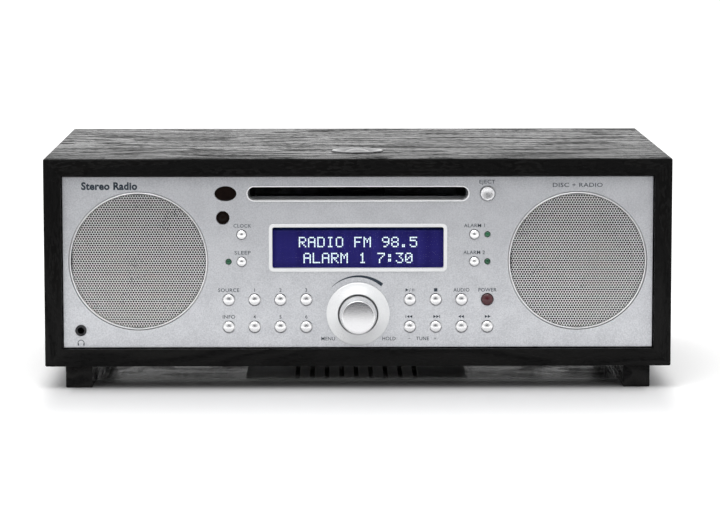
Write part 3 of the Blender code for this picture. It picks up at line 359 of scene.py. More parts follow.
def black_ash(name, grain, painted_shading=1.0):
    """Stained ash. Its grain runs along an axis, or with "round" round the mitred corners."""
    finish, tree, wood = new_finish(name)
    axes = axes_of(tree, place_in(tree))
    along, across, through = axes["X"], axes["Y"], axes["Z"]
    if grain == "Y":
        along, across = across, along
    if grain == "round":
        from_middle = calculated(tree, "ABSOLUTE", axes["X"])
        from_side = calculated(tree, "SUBTRACT", case_high.x, from_middle)
        from_top = calculated(tree, "SUBTRACT", case_high.z, axes["Z"])
        from_base = calculated(tree, "SUBTRACT", axes["Z"], case_low.z)
        from_edge = calculated(tree, "MINIMUM", from_top, from_base)
        upright = calculated(tree, "LESS_THAN", from_side, from_edge)
        pair = []
        for flat, raised in (("X", "Z"), ("Z", "X")):
            turning = {0: upright, 2: axes[flat], 3: axes[raised]}
            pair.append(node_of(tree, "ShaderNodeMix", turning).outputs[0])
        along, through = pair

    def stretched(length, width):
        scaled = [product(tree, along, length)]
        scaled += [product(tree, axis, width) for axis in (across, through)]
        return vector_of(tree, enumerate(scaled))

    sweep = noise(tree, stretched(5.0, 32.0), 1.0, 2.0, 0.45)
    ring = calculated(tree, "FRACT", product(tree, sweep, 9.0))
    ring = product(tree, remapped(tree, ring, 0.0, 0.75), remapped(tree, ring, 0.82, 1.0, 1.0, 0.0))
    fibre = noise(tree, stretched(190.0, 620.0), 1.0, 4.0, 0.75)
    pore = remapped(tree, noise(tree, stretched(230.0, 760.0), 1.0, 2.0), 0.50, 0.60)
    pore = product(tree, pore, remapped(tree, ring, 0.0, 1.0, 1.0, 0.35))
    tone = weighed(tree, ring, fibre, 0.5)
    # The stain's colours are scaled by painted_shading; above 1 this is painted light.
    stain = [[painted_shading * part for part in colour] for colour in (STAIN_DARK, STAIN_LIGHT)]
    colour = blended(tree, tone, *stain)
    gloss = calculated(tree, "SUBTRACT", tone, pore)
    dullness = remapped(tree, gloss, -0.4, 0.75, 0.80, 0.14)
    filled(tree, wood, {"Base Color": colour, "Roughness": dullness, "IOR": 1.17})
    height = calculated(tree, "SUBTRACT", product(tree, tone, 0.8), pore)
    bumped(tree, wood, height, GRAIN_DEPTH, 0.9)
    return finish


case = sized_block("wooden_case", case_low, case_high)
softened(case, CASE_EDGE, 4)
mouth_low = (case_low.x + BOARD, case_low.y - THROUGH, case_low.z + BOARD)
mouth_high = (case_high.x - BOARD, case_high.y + THROUGH, case_high.z - BOARD)
woofer_middle = middle_of("woofer_guard")
touch_middle = middle_of("touch_disc")
woofer_floor = (woofer_middle.x, woofer_middle.y, case_low.z)
touch_top = (touch_middle.x, touch_middle.y, case_high.z)
cut_from(case, [sized_block("inside", mouth_low, mouth_high)])
cut_from(
    case,
    [
        turned("hole", woofer_floor, UPWARD, 72, rod(WOOFER_OPENING, -THROUGH, BOARD + THROUGH)),
        turned("seat", touch_top, UPWARD, 64, rod(TOUCH_SEAT_RADIUS, -TOUCH_SEAT_DEPTH, THROUGH)),
    ],
)
softened(case, MOUTH_EDGE, 2, 70, clamp=False)
fitted(case, black_ash("black_ash_case", "round"), "cabinet", "black_ash", "case", smooth=15)

# ------------------------------------------------------------------------------ runner feet
# Two solid ash runners from front to back, stained like the case but painted three times lighter,
# a painted light for the light they lack. Each is held from below by two countersunk screws.
FOOT_EDGE = 0.0008
SCREW_HOLE = 0.0036
SCREW_HEAD = 0.0032
SCREW_SUNK = 0.0022
SCREW_FROM_END = 0.024


def speckled(
    name, dark, light, roughness, metallic=0.0, grain=900.0, depth=0.00002, spread=0.08, ior=1.45
):
    """A finish whose colour and roughness vary a little over a fine grain, with a slight relief."""
    finish, tree, shader = new_finish(name)
    place = place_in(tree)
    fine = noise(tree, place, grain, 3.0, 0.6)
    wide = noise(tree, place, grain / 18, 2.0)
    share = weighed(tree, fine, wide, 0.6)
    colour = blended(tree, remapped(tree, share, 0.3, 0.7), dark, light)
    dullness = remapped(tree, share, 0.3, 0.7, roughness + spread, roughness - spread)
    filled(tree, shader, {"Base Color": colour, "Roughness": dullness})
    filled(tree, shader, {"Metallic": metallic, "IOR": ior})
    bumped(tree, shader, fine, depth, 0.5)
    return finish


def screw(name, where, facing, radius):
    """A pan head with a cross recess, standing on the surface at where."""
    dome = [(radius * math.sin(a), radius * 0.45 * math.cos(a)) for a in (0.35, 0.7, 1.05, 1.4)]
    shank = [(0, -radius * 0.3), (radius * 0.9, -radius * 0.3), (radius, 0.0)]
    profile = shank + dome[::-1] + [(0, radius * 0.45)]
    head = turned(name, (0, 0, 0), UPWARD, 24, profile)
    arms = []
    long, thin = radius * 0.55, radius * 0.11
    for x, y in ((long, thin), (thin, long)):
        arms.append(sized_block("arm", (-x, -y, radius * 0.05), (x, y, radius)))
    cut_from(arms[0], [arms[1]], "UNION")
    cut_from(head, [arms[0]])
    return placed(head, where, facing)


# Painted light: the runners' stain colours are made three times lighter.
runner_ash = black_ash("black_ash_runner", "Y", 3.0)
blackened = speckled("blackened_steel", (0.012, 0.012, 0.013), (0.03, 0.03, 0.032), 0.42, 0.8)


def screwed(name, places, facing, radius):
    """Blackened screws at these places, as one piece."""
    heads = [screw("head", where, facing, radius) for where in places]
    fitted(joined(heads), blackened, "cabinet", "black_plastic").name = name


for hand in ("left", "right"):
    low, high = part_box("foot_" + hand)
    runner = softened(sized_block("runner_" + hand, low, high), FOOT_EDGE)
    centre_x = (low.x + high.x) / 2
    ends = [(centre_x, low.y + SCREW_FROM_END, low.z), (centre_x, high.y - SCREW_FROM_END, low.z)]
    sink = rod(SCREW_HOLE, -THROUGH, SCREW_SUNK)
    cut_from(runner, [turned("sink", end, UPWARD, 32, sink) for end in ends])
    fitted(runner, runner_ash, "cabinet", "black_ash", "foot_" + hand, smooth=15)
    seats = [Vector(end) + Vector((0, 0, SCREW_SUNK)) for end in ends]
    screwed("runner_screws_" + hand, seats, DOWNWARD, SCREW_HEAD)

# ------------------------------------------------------------------------------ front panel
# A 3 mm moulded panel, set 4 mm back in the case and sprayed in fine silver metallic lacquer.
# Its holes are moulded in, with a slightly softened edge.
panel_low, panel_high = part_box("front_panel")
FACE = panel_low.y
PANEL_BACK = FACE - panel_high.y
PANEL_EDGE = 0.00012
KEY_GAP = 0.0004
KEY_LIP = 0.0003
SLIDE_GAP = 0.0003
BEHIND = PANEL_BACK - SLIDE_GAP
STAND_OFF = 0.00004
GRILLE_RADIUS = 0.0395
GRILLE_GAP = 0.0005
NECK_CLEARANCE = 0.0130
JACK_CLEARANCE = 0.0028
WINDOW_CLEARANCE = 0.0011
KEYS = sorted(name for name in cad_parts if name.startswith("key_") and name != "key_board")
LAMPS = sorted(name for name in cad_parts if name.endswith("_lamp"))


def spot_of(node):
    """The middle of a node, brought to the face of the panel."""
    low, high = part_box(node)
    return Vector(((low.x + high.x) / 2, FACE, (low.z + high.z) / 2))


def half_width(node):
    low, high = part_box(node)
    return (high.x - low.x) / 2


def reach_of(node):
    """How far a node goes behind the panel's face, counted down, and in front of it."""
    low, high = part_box(node)
    return FACE - high.y, FACE - low.y


def drawn_out(name, where, width, height, corner, back, front, facing=FORWARD, sides=48):
    """A rod whose four quarters are pulled apart to a rounded section, from back to front."""
    bpy.ops.mesh.primitive_cylinder_add(
        vertices=sides, radius=corner, depth=front - back, location=(0, 0, (front + back) / 2)
    )
    piece = started(name)
    for point in piece.data.vertices:
        for axis, reach in ((0, width / 2 - corner), (1, height / 2 - corner)):
            if abs(point.co[axis]) > 1e-6:
                point.co[axis] += math.copysign(reach, point.co[axis])
    return placed(piece, where, facing)


def bored(where, radius, sides=32, facing=FORWARD):
    """A cutter for a round hole through the panel."""
    return turned("bore", where, facing, sides, rod(radius, PANEL_BACK - THROUGH, THROUGH))


SLOT_LENGTH = 2 * half_width("slot_trim")
SLOT_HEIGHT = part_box("slot_trim")[1].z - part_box("slot_trim")[0].z
SLOT_RIM = 0.0002
BEZEL_BORDER = 0.0020
BEZEL_SPREAD = 0.0004
bezel_low, bezel_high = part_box("display_bezel")
SCREEN_WIDTH = bezel_high.x - bezel_low.x - 2 * BEZEL_BORDER + 2 * BEZEL_SPREAD
SCREEN_HEIGHT = bezel_high.z - bezel_low.z - 2 * BEZEL_BORDER
SCREEN_CORNER = 0.0012
OVAL_RADIUS = 0.001
remote_low, remote_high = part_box("remote_window")


def screen_block(name, grown, corner, back, front):
    """A rounded block as large as the screen's opening, grown by this much on each side."""
    size = (SCREEN_WIDTH + 2 * grown, SCREEN_HEIGHT + 2 * grown)
    return drawn_out(name, spot_of("display_bezel"), *size, corner, back, front)


slot_inset = 2 * SLOT_RIM - SLIDE_GAP
panel = sized_block("silver_panel", panel_low, panel_high)
deep = PANEL_BACK - THROUGH
cutters = [bored(spot_of(key), half_width(key) - KEY_LIP) for key in KEYS]
cutters += [bored(spot_of(lamp), half_width(lamp) + SLIDE_GAP, 20) for lamp in LAMPS]
for hand in ("left", "right"):
    cutters += [bored(spot_of("grille_" + hand), GRILLE_RADIUS + GRILLE_GAP, 128)]
cutters += [bored(spot_of("knob_surround"), NECK_CLEARANCE, 64)]
cutters += [bored(spot_of("light_sensor"), half_width("light_sensor") + SLIDE_GAP)]
cutters += [bored(spot_of("headphone_socket"), JACK_CLEARANCE)]
cutters += [
    drawn_out(
        "slot", spot_of("slot_trim"), SLOT_LENGTH - slot_inset, SLOT_HEIGHT - slot_inset,
        (SLOT_HEIGHT - slot_inset) / 2, deep, THROUGH,
    )
]
cutters += [
    screen_block("screen", WINDOW_CLEARANCE, SCREEN_CORNER + WINDOW_CLEARANCE, deep, THROUGH)
]
oval = bored(Vector((0, FACE, 0)), OVAL_RADIUS, 48)
eye_reach = (remote_high - remote_low) / 2 + Vector((SLIDE_GAP, 0, SLIDE_GAP))
oval.scale = (eye_reach.x / OVAL_RADIUS, 1.0, eye_reach.z / OVAL_RADIUS)
eye_spot = spot_of("remote_window")
cutters += [placed(oval, (eye_spot.x, 0, eye_spot.z))]
cut_from(panel, cutters)
softened(panel, PANEL_EDGE, 2, 60, clamp=False)

lacquer, tree, paint = new_finish("silver_lacquer")
place = place_in(tree)
flake = noise(tree, place, 1400.0, 2.0, 0.7)
cloud = noise(tree, place, 90.0, 3.0)
share = remapped(tree, weighed(tree, flake, cloud, 0.75), 0.30, 0.70)
silver = blended(tree, share, (0.50, 0.51, 0.535), (0.68, 0.69, 0.715))
dullness = remapped(tree, flake, 0.3, 0.7, 0.40, 0.30)
filled(tree, paint, {"Base Color": silver, "Roughness": dullness, "Metallic": 0.75, "IOR": 1.45})
bumped(tree, paint, flake, 0.00003, 0.35)
fitted(panel, lacquer, "cabinet", "silver_paint", "front_panel", smooth=15)

# ------------------------------------------------------------------------------ printed labels
# Dark grey-blue screen print on the panel: a word or a sign for each key, and a crescent that
# widens towards louder round the knob.
INK_THICK = 0.00004
INK_TOP = FACE - INK_THICK / 2
CAP = 0.682
SMALL = 0.0020
UPPER_LABEL = 0.0436
LOWER_LABEL = 0.0282
FOOT_LABEL = 0.0155
POINT_RIGHT = -math.pi / 2
POINT_LEFT = math.pi / 2
SQUARE = math.pi / 4
ARROW = 0.00115
BAR = 0.0011
BAR_NARROW = 0.22
CROSS = 0.0009
CROSS_NARROW = 0.16
prints = []


def lettering(body, x, up, cap, width=None, heavy=0.00002):
    """Printed letters with capitals of a height, centred on x and up from the case's underside."""
    bpy.ops.object.text_add()
    word = bpy.context.object
    word.data.body = body
    word.data.size = cap / CAP
    word.data.align_x = "CENTER"
    word.data.extrude = INK_THICK / 2
    word.data.offset = heavy
    word.data.resolution_u = 3
    word.data.space_character = 1.06
    bpy.context.view_layer.update()
    if width:
        word.scale = (width / word.dimensions.x, 1.0, 1.0)
    bpy.ops.object.convert(target="MESH")
    return placed(bpy.context.object, (x, INK_TOP, case_low.z + up - cap / 2), FORWARD)


def sign(sides, x, up, radius, point=SQUARE, narrow=1.0, low=1.0):
    """A flat printed triangle, square or bar, narrowed or lowered to a share of its size."""
    bpy.ops.mesh.primitive_cylinder_add(vertices=sides, radius=radius, depth=INK_THICK)
    bpy.context.object.rotation_euler = (0, 0, point)
    mark = started("sign")
    mark.scale = (narrow, low, 1.0)
    return placed(mark, (x, INK_TOP, case_low.z + up), FORWARD)


def crescent(x, up, radius, start, stop, start_width, stop_width):
    """A strip bent round a middle, from one angle and width to another."""
    bpy.ops.mesh.primitive_grid_add(x_subdivisions=48, y_subdivisions=1, size=2.0)
    strip = bpy.context.object
    for point in strip.data.vertices:
        share = (point.co.x + 1) / 2
        angle = math.radians(start + (stop - start) * share)
        reach = radius + point.co.y / 2 * (start_width + (stop_width - start_width) * share)
        point.co = (reach * math.cos(angle), reach * math.sin(angle), 0)
    shaped(strip, "SOLIDIFY", thickness=INK_THICK, offset=0.0)
    bpy.ops.object.mode_set(mode="EDIT")
    closed_up()
    return placed(strip, (x, INK_TOP, case_low.z + up), FORWARD)


KEY_WORDS = (
    ("key_source", "SOURCE", UPPER_LABEL, 0.0121),
    ("key_preset_1", "1", UPPER_LABEL, None),
    ("key_preset_2", "2", UPPER_LABEL, None),
    ("key_preset_3", "3", UPPER_LABEL, None),
    ("key_audio", "AUDIO", UPPER_LABEL, 0.0092),
    ("key_power", "POWER", UPPER_LABEL, 0.0104),
    ("key_info", "INFO", LOWER_LABEL, 0.0071),
    ("key_preset_4", "4", LOWER_LABEL, None),
    ("key_preset_5", "5", LOWER_LABEL, None),
    ("key_preset_6", "6", LOWER_LABEL, None),
)
PLACED_WORDS = (
    ("CLOCK", -0.0662, 0.0807, 0.0101),
    ("SLEEP", -0.0661, 0.0652, 0.0093),
    ("ALARM 1", 0.0669, 0.0807, 0.0120),
    ("ALARM 2", 0.0665, 0.0652, 0.0123),
    ("EJECT", 0.0738, 0.1058, 0.0091),
    ("MENU", -0.0172, FOOT_LABEL, 0.0078),
    ("HOLD", 0.0177, FOOT_LABEL, 0.0076),
    ("TUNE", 0.0370, FOOT_LABEL, 0.0074),
)
for node, text, up, width in KEY_WORDS:
    prints.append(lettering(text, spot_of(node).x, up, SMALL, width))
for text, x, up, width in PLACED_WORDS:
    prints.append(lettering(text, x, up, SMALL, width))
prints.append(lettering("Stereo Radio", -0.1420, 0.1036, 0.0040, 0.0320, heavy=0.00024))
prints.append(lettering("DISC + RADIO", 0.1255, 0.1039, 0.0023, 0.0285))
for x in (0.0294, 0.0442):
    prints.append(sign(4, x, FOOT_LABEL, CROSS, low=CROSS_NARROW))
prints.append(sign(4, 0.0442, FOOT_LABEL, CROSS, narrow=CROSS_NARROW))

pause = spot_of("key_play_pause").x
prints.append(sign(3, pause - 0.0019, UPPER_LABEL, ARROW, POINT_RIGHT))
prints.append(lettering("/", pause, UPPER_LABEL, SMALL))
for x in (pause + 0.0014, pause + 0.0023):
    prints.append(sign(4, x, UPPER_LABEL, BAR, narrow=BAR_NARROW))
prints.append(sign(4, spot_of("key_stop").x, UPPER_LABEL, 0.0014))
for node, point, bar in (
    ("key_track_back", POINT_LEFT, -0.0023),
    ("key_track_next", POINT_RIGHT, 0.0023),
    ("key_rewind", POINT_LEFT, None),
    ("key_fast_forward", POINT_RIGHT, None),
):
    x = spot_of(node).x
    for shift in (-0.0008, 0.0009):
        prints.append(sign(3, x + shift, LOWER_LABEL, ARROW * 0.9, point))
    if bar:
        prints.append(sign(4, x + bar, LOWER_LABEL, BAR, narrow=BAR_NARROW))

knob_up = spot_of("knob_surround").z - case_low.z
prints.append(crescent(0.0, knob_up, 0.0215, 134, 50, 0.0002, 0.0020))
phones = spot_of("headphone_socket").x
prints.append(crescent(phones, 0.0131, 0.0018, 200, -20, 0.00035, 0.00035))
for side in (-1, 1):
    prints.append(sign(4, phones + side * 0.0016, 0.0124, 0.0009, narrow=0.55))
INK_DARK = (0.016, 0.024, 0.034)
INK_LIGHT = (0.028, 0.040, 0.054)
ink = speckled("label_ink", INK_DARK, INK_LIGHT, 0.6, grain=2500.0, ior=1.3)
fitted(joined(prints), ink, "cabinet", "black_plastic", smooth=0).name = "panel_print"

# ------------------------------------------------------------------------------ speaker grilles
# A steel disc, punched with a close hexagonal pattern of round holes and rolled over at the
# edge, with a lip behind the panel. Plated and lacquered silver.
GRILLE_ROLL = 0.0004
GRILLE_SHEET = 0.0004
GRILLE_EDGE = 0.0004
HOLE_PITCH = 0.00149
HOLE_RADIUS = 0.00062
HOLE_SIDES = 12
HOLES_FROM_ROLL = 0.0007
HOLES_MERGE = 0.00002

steel = speckled("grille_steel", (0.80, 0.80, 0.81), (0.90, 0.90, 0.91), 0.34, 0.8, 1200.0)


def punched_sheet(name, reach):
    """Six-sided cells with a round hole each, in rows as far as a radius, given a thickness."""
    apothem = HOLE_PITCH / 2
    row_height = HOLE_PITCH * math.sqrt(3) / 2
    to_corner = 2 / math.sqrt(3)
    bpy.ops.mesh.primitive_circle_add(vertices=HOLE_SIDES, radius=HOLE_RADIUS)
    field = started(name)
    bpy.ops.object.mode_set(mode="EDIT")
    bpy.ops.mesh.select_all(action="SELECT")
    bpy.ops.mesh.extrude_region_move()
    bpy.ops.transform.resize(value=(apothem / HOLE_RADIUS, apothem / HOLE_RADIUS, 1.0))
    bpy.ops.object.mode_set(mode="OBJECT")
    for point in field.data.vertices:
        turn = math.degrees(math.atan2(point.co.y, point.co.x)) - 90
        outside = point.co.length > (apothem + HOLE_RADIUS) / 2
        if outside and abs((turn + 30) % 60 - 30) < 1:
            point.co *= to_corner
    cell_faces = len(field.data.polygons)
    columns = int(reach / HOLE_PITCH)
    row_pairs = int(reach / row_height / 2) + 1
    repeats = (
        (2, (apothem, row_height, 0)),
        (2 * columns + 1, (HOLE_PITCH, 0, 0)),
        (2 * row_pairs, (0, 2 * row_height, 0)),
    )
    by_step = {"use_relative_offset": False, "use_constant_offset": True}
    for count, step in repeats:
        shaped(field, "ARRAY", count=count, constant_offset_displace=step, **by_step)
    placed(field, (-columns * HOLE_PITCH, -2 * row_pairs * row_height, 0))
    for point in list(field.data.vertices) + list(field.data.edges):
        point.select = False
    for first in range(0, len(field.data.polygons), cell_faces):
        cell = field.data.polygons[first : first + cell_faces]
        middle = sum((face.center for face in cell), Vector()) / cell_faces
        for face in cell:
            face.select = middle.length > reach
    bpy.ops.object.mode_set(mode="EDIT")
    bpy.ops.mesh.delete(type="FACE")
    closed_up(HOLES_MERGE)
    if field.data.polygons[0].normal.z < 0:
        field.data.flip_normals()
    return shaped(field, "SOLIDIFY", thickness=GRILLE_SHEET, offset=-1.0)


outer = GRILLE_RADIUS
inner = outer - GRILLE_SHEET
flat = outer - GRILLE_ROLL
edge = flat - GRILLE_EDGE
lip = half_width("grille_left")
lip_back = BEHIND - GRILLE_SHEET
bend = [(math.sin(a), math.cos(a) - 1) for a in (0.0, 0.3, 0.6, 0.9, 1.2, math.pi / 2)]
rim = [(flat + GRILLE_ROLL * out, STAND_OFF + GRILLE_ROLL * down) for out, down in bend]
rim += [(outer, BEHIND), (lip, BEHIND), (lip, lip_back), (inner, lip_back)]
rim += [(inner, -GRILLE_ROLL - GRILLE_SHEET / 2), (edge, -GRILLE_SHEET - STAND_OFF)]
rim += [(edge, STAND_OFF), (flat, STAND_OFF)]
sheet = punched_sheet("grille_blank", flat - HOLES_FROM_ROLL)
pan = joined([turned("grille_left_pan", (0, 0, 0), UPWARD, 96, rim), sheet])
twin = pan.copy()
twin.data = pan.data.copy()
twin.name = "grille_right_pan"
bpy.context.scene.collection.objects.link(twin)
for grille, hand in ((pan, "left"), (twin, "right")):
    placed(grille, spot_of("grille_" + hand), FORWARD)
    fitted(grille, steel, "cabinet", "silver_steel", "grille_" + hand, smooth=25)

# ------------------------------------------------------------------------------ speakers
# Two full-range drivers behind the grilles and a woofer in the bottom board: pressed baskets
# lacquered black, dark paper cones and foam rolls. The magnets are inside the baskets' cans.
def dressed(nodes, finish):
    """Gives CAD nodes that stay as they are their finish."""
    for node in nodes:
        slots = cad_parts[node].data.materials
        slots.clear()
        slots.append(finish)


basket_lacquer = speckled(
    "basket_lacquer", (0.008, 0.008, 0.009), (0.016, 0.016, 0.018), 0.5, grain=500.0
)
cone_paper = speckled(
    "cone_paper", (0.010, 0.010, 0.011), (0.024, 0.024, 0.025), 0.8, grain=700.0, depth=0.0001
)
dressed(["speaker_left_basket", "speaker_right_basket", "woofer_basket"], basket_lacquer)
dressed(["speaker_left_cone", "speaker_right_cone", "woofer_cone"], cone_paper)

# ------------------------------------------------------------------------------ disc slot
# A moulded pearl-white trim: a thin rim on the panel and a throat that leads the disc back to
# the drive. The throat is painted darker towards the inside of the case, a painted shade.
SLOT_WALL = 0.0004
SLOT_PAINTED_SHADE_REACH = 0.030
TRIM_EDGE = 0.00012
PEARL_LOOK = (0.30, 0.15, 1500.0, 0.00001, 0.04)
slot_spot = spot_of("slot_trim")
throat_end, rim_proud = reach_of("slot_trim")


def slot_block(name, inset, back, front):
    """A block with round ends, as large as the slot's trim less this much on each side."""
    height = SLOT_HEIGHT - 2 * inset
    return drawn_out(name, slot_spot, SLOT_LENGTH - 2 * inset, height, height / 2, back, front)


pearl = speckled("pearl_moulding", (0.66, 0.67, 0.68), (0.74, 0.745, 0.75), *PEARL_LOOK)
trim = slot_block("disc_slot_trim", 0.0, STAND_OFF, rim_proud)
cut_from(trim, [slot_block("sleeve", SLOT_RIM, throat_end, rim_proud / 2)], "UNION")
cut_from(trim, [slot_block("throat", SLOT_RIM + SLOT_WALL, throat_end - THROUGH, THROUGH)])
softened(trim, TRIM_EDGE, 2, 60, clamp=False)
slot_pearl = speckled("slot_pearl", (0.70, 0.71, 0.72), (0.78, 0.785, 0.79), *PEARL_LOOK)
tree = slot_pearl.node_tree
skin = tree.nodes["Principled BSDF"].inputs["Base Color"]
pale = skin.links[0].from_socket
axes = axes_of(tree, place_in(tree))
# Painted shade: the throat's colour turns near-black from the panel's face towards the inside of the
# case.
depth = remapped(tree, axes["Y"], FACE - 0.001, FACE + SLOT_PAINTED_SHADE_REACH)
tree.links.new(blended(tree, depth, pale, (0.006, 0.006, 0.007)), skin)
fitted(trim, slot_pearl, "cabinet", "pearl_plastic", "slot_trim", smooth=15)

# ------------------------------------------------------------------------------ disc drive
# Galvanised tray with its rails and motor can, a rubber roller, and the black spindle and
# laser sled. All of it is deep in the case and is seen only through the slot.
galvanised = speckled(
    "galvanised_steel", (0.30, 0.31, 0.32), (0.46, 0.47, 0.49), 0.45, 0.9, 160.0, 0.00001, 0.1
)
rubber = speckled(
    "roller_rubber", (0.012, 0.012, 0.012), (0.022, 0.022, 0.022), 0.75, grain=1100.0, depth=0.00005
)
moulding = speckled("black_moulding", (0.010, 0.010, 0.011), (0.020, 0.020, 0.022), 0.45)
dressed(["drive_chassis", "encoder_housing"], galvanised)
dressed(["disc_roller"], rubber)
dressed(["disc_spindle", "laser_sled", "encoder_rotor"], moulding)

# ------------------------------------------------------------------------------ display
# A pearl-white frame round a clear window, over a negative blue liquid-crystal module with two
# lines of light dots. The module is lit from behind, and the frame's shadow is painted along its top.
SLEEVE_WALL = 0.0008
BEZEL_EDGE = 0.0003
MODULE_EDGE = 0.0004
screen_spot = spot_of("display_bezel")
bezel_end, bezel_proud = reach_of("display_bezel")
outer_corner = SCREEN_CORNER + BEZEL_BORDER * 0.8
bezel = screen_block("screen_frame", BEZEL_BORDER, outer_corner, STAND_OFF, bezel_proud)
sleeve_corner = SCREEN_CORNER + SLEEVE_WALL
sleeve = screen_block("sleeve", SLEEVE_WALL, sleeve_corner, bezel_end, bezel_proud / 2)
cut_from(bezel, [sleeve], "UNION")
cut_from(bezel, [screen_block("light", 0.0, SCREEN_CORNER, bezel_end - THROUGH, THROUGH)])
softened(bezel, BEZEL_EDGE, 3, 60, clamp=False)
fitted(bezel, pearl, "cabinet", "pearl_plastic", "display_bezel", smooth=15)

window_low, window_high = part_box("display_window")
window = drawn_out(
    "screen_window", screen_spot, window_high.x - window_low.x, window_high.z - window_low.z,
    SCREEN_CORNER * 0.8, *reach_of("display_window"),
)
clear, tree, pane = new_finish("clear_window")
smears = remapped(tree, noise(tree, place_in(tree), 60.0), 0.3, 0.7, 0.04, 0.10)
filled(tree, pane, {"Base Color": (0.02, 0.02, 0.05, 1.0), "Roughness": smears, "Alpha": 0.05})
fitted(window, clear, "cabinet", "clear_lens", "display_window")

module_low, module_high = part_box("display_module")
module = softened(sized_block("screen_module", module_low, module_high), MODULE_EDGE, 2)
crystal, tree, glow = new_finish("blue_crystal")
axes = axes_of(tree, place_in(tree))
bands = noise(tree, vector_of(tree, {0: axes["X"]}), 160.0, 2.0)
rows = noise(tree, vector_of(tree, {2: axes["Z"]}), 260.0, 1.0)
share = remapped(tree, weighed(tree, bands, rows, 0.6), 0.35, 0.65)
blue = blended(tree, share, (0.010, 0.008, 0.078), (0.018, 0.016, 0.122))
# Painted shadow: a dark band along the module's top stands in for the frame's shadow.
screen_top = screen_spot.z + SCREEN_HEIGHT / 2
painted_shading = remapped(tree, axes["Z"], screen_top - 0.0023, screen_top - 0.0019)
blue = blended(tree, painted_shading, blue, (0.001, 0.004, 0.022))
filled(tree, glow, {"Base Color": blue, "Roughness": 0.35, "IOR": 1.1})
filled(tree, glow, {"Emission Color": blue, "Emission Strength": 0.35})
fitted(module, crystal, "cabinet", "blue_display", "display_module")

DOT = 0.00087
DOT_SIZE = 0.00068
DOT_THICK = 0.00006
DOT_GAP = 0.00002
CHARACTER_PITCH = 0.0053
LINE_PITCH = 0.0092
TOP_LINE = 0.0055
GLYPHS = {
    "A": ("01110", "10001", "10001", "11111", "10001", "10001", "10001"),
    "D": ("11110", "10001", "10001", "10001", "10001", "10001", "11110"),
    "F": ("11111", "10000", "10000", "11110", "10000", "10000", "10000"),
    "I": ("01110", "00100", "00100", "00100", "00100", "00100", "01110"),
    "L": ("10000", "10000", "10000", "10000", "10000", "10000", "11111"),
    "M": ("10001", "11011", "10101", "10101", "10001", "10001", "10001"),
    "O": ("01110", "10001", "10001", "10001", "10001", "10001", "01110"),
    "R": ("11110", "10001", "10001", "11110", "10100", "10010", "10001"),
    "0": ("01110", "10001", "10011", "10101", "11001", "10001", "01110"),
    "1": ("00100", "01100", "00100", "00100", "00100", "00100", "01110"),
    "3": ("11111", "00010", "00100", "00010", "00001", "10001", "01110"),
    "5": ("11111", "10000", "11110", "00001", "00001", "10001", "01110"),
    "7": ("11111", "00001", "00010", "00100", "01000", "01000", "01000"),
    "8": ("01110", "10001", "10001", "01110", "10001", "10001", "01110"),
    "9": ("01110", "10001", "10001", "01111", "00001", "00010", "01100"),
    ".": ("00000", "00000", "00000", "00000", "00000", "01100", "01100"),
    ":": ("00000", "01100", "01100", "00000", "01100", "01100", "00000"),
}
half = DOT_SIZE / 2
dot = sized_block("dot", (-half, -DOT_THICK, -half), (half, 0.0, half))
dots = []
for line, text in enumerate(("RADIO FM 98.5", "ALARM 1 7:30")):
    top = screen_spot.z + TOP_LINE - line * LINE_PITCH
    for number, character in enumerate(text):
        left = (number - (len(text) - 1) / 2) * CHARACTER_PITCH - 2 * DOT
        for row, pattern in enumerate(GLYPHS.get(character, ())):
            for column, lit in enumerate(pattern):
                if lit == "0":
                    continue
                copy = dot.copy()
                copy.data = dot.data.copy()
                copy.location = (left + column * DOT, module_low.y - DOT_GAP, top - row * DOT)
                bpy.context.scene.collection.objects.link(copy)
                dots.append(copy)
bpy.data.objects.remove(dot)
characters = joined(dots)
characters.name = "screen_characters"
bpy.ops.object.transform_apply()
lit_dots = speckled("lit_dots", (0.70, 0.86, 0.92), (0.80, 0.92, 0.96), 0.4, grain=700.0)
tree = lit_dots.node_tree
light = {"Emission Color": (0.74, 0.90, 0.96, 1.0), "Emission Strength": 0.55}
filled(tree, tree.nodes["Principled BSDF"], light)
fitted(characters, lit_dots, "cabinet", "blue_display", smooth=0)

# ------------------------------------------------------------------------------ push keys
# Satin-chromed plastic caps, domed, each with a lip behind the panel and a stem to its switch.
# The power key is a dark red lens, and the eject key is dished inside a bevelled rim.
KEY_PROUD = 0.0018
KEY_SHOULDER = 0.0010
KEY_DISH = 0.0009
KEY_BOWL = 0.0006
STEM_RADIUS = 0.0012
satin_chrome = speckled(
    "satin_chrome", (0.78, 0.78, 0.79), (0.85, 0.85, 0.855), 0.24, 1.0, 1300.0, 0.00001, 0.03
)
brushed = speckled(
    "eject_silver", (0.62, 0.62, 0.63), (0.80, 0.80, 0.81), 0.33, 0.9, 1200.0, 0.00003
)
red_lens = speckled(
    "red_lens", (0.035, 0.006, 0.009), (0.085, 0.016, 0.022), 0.16, 0.0, 500.0, 0.00004, 0.03, 1.5
)
KEY_LOOKS = {"key_power": (red_lens, "red_lens"), "key_eject": (brushed, "silver_steel")}


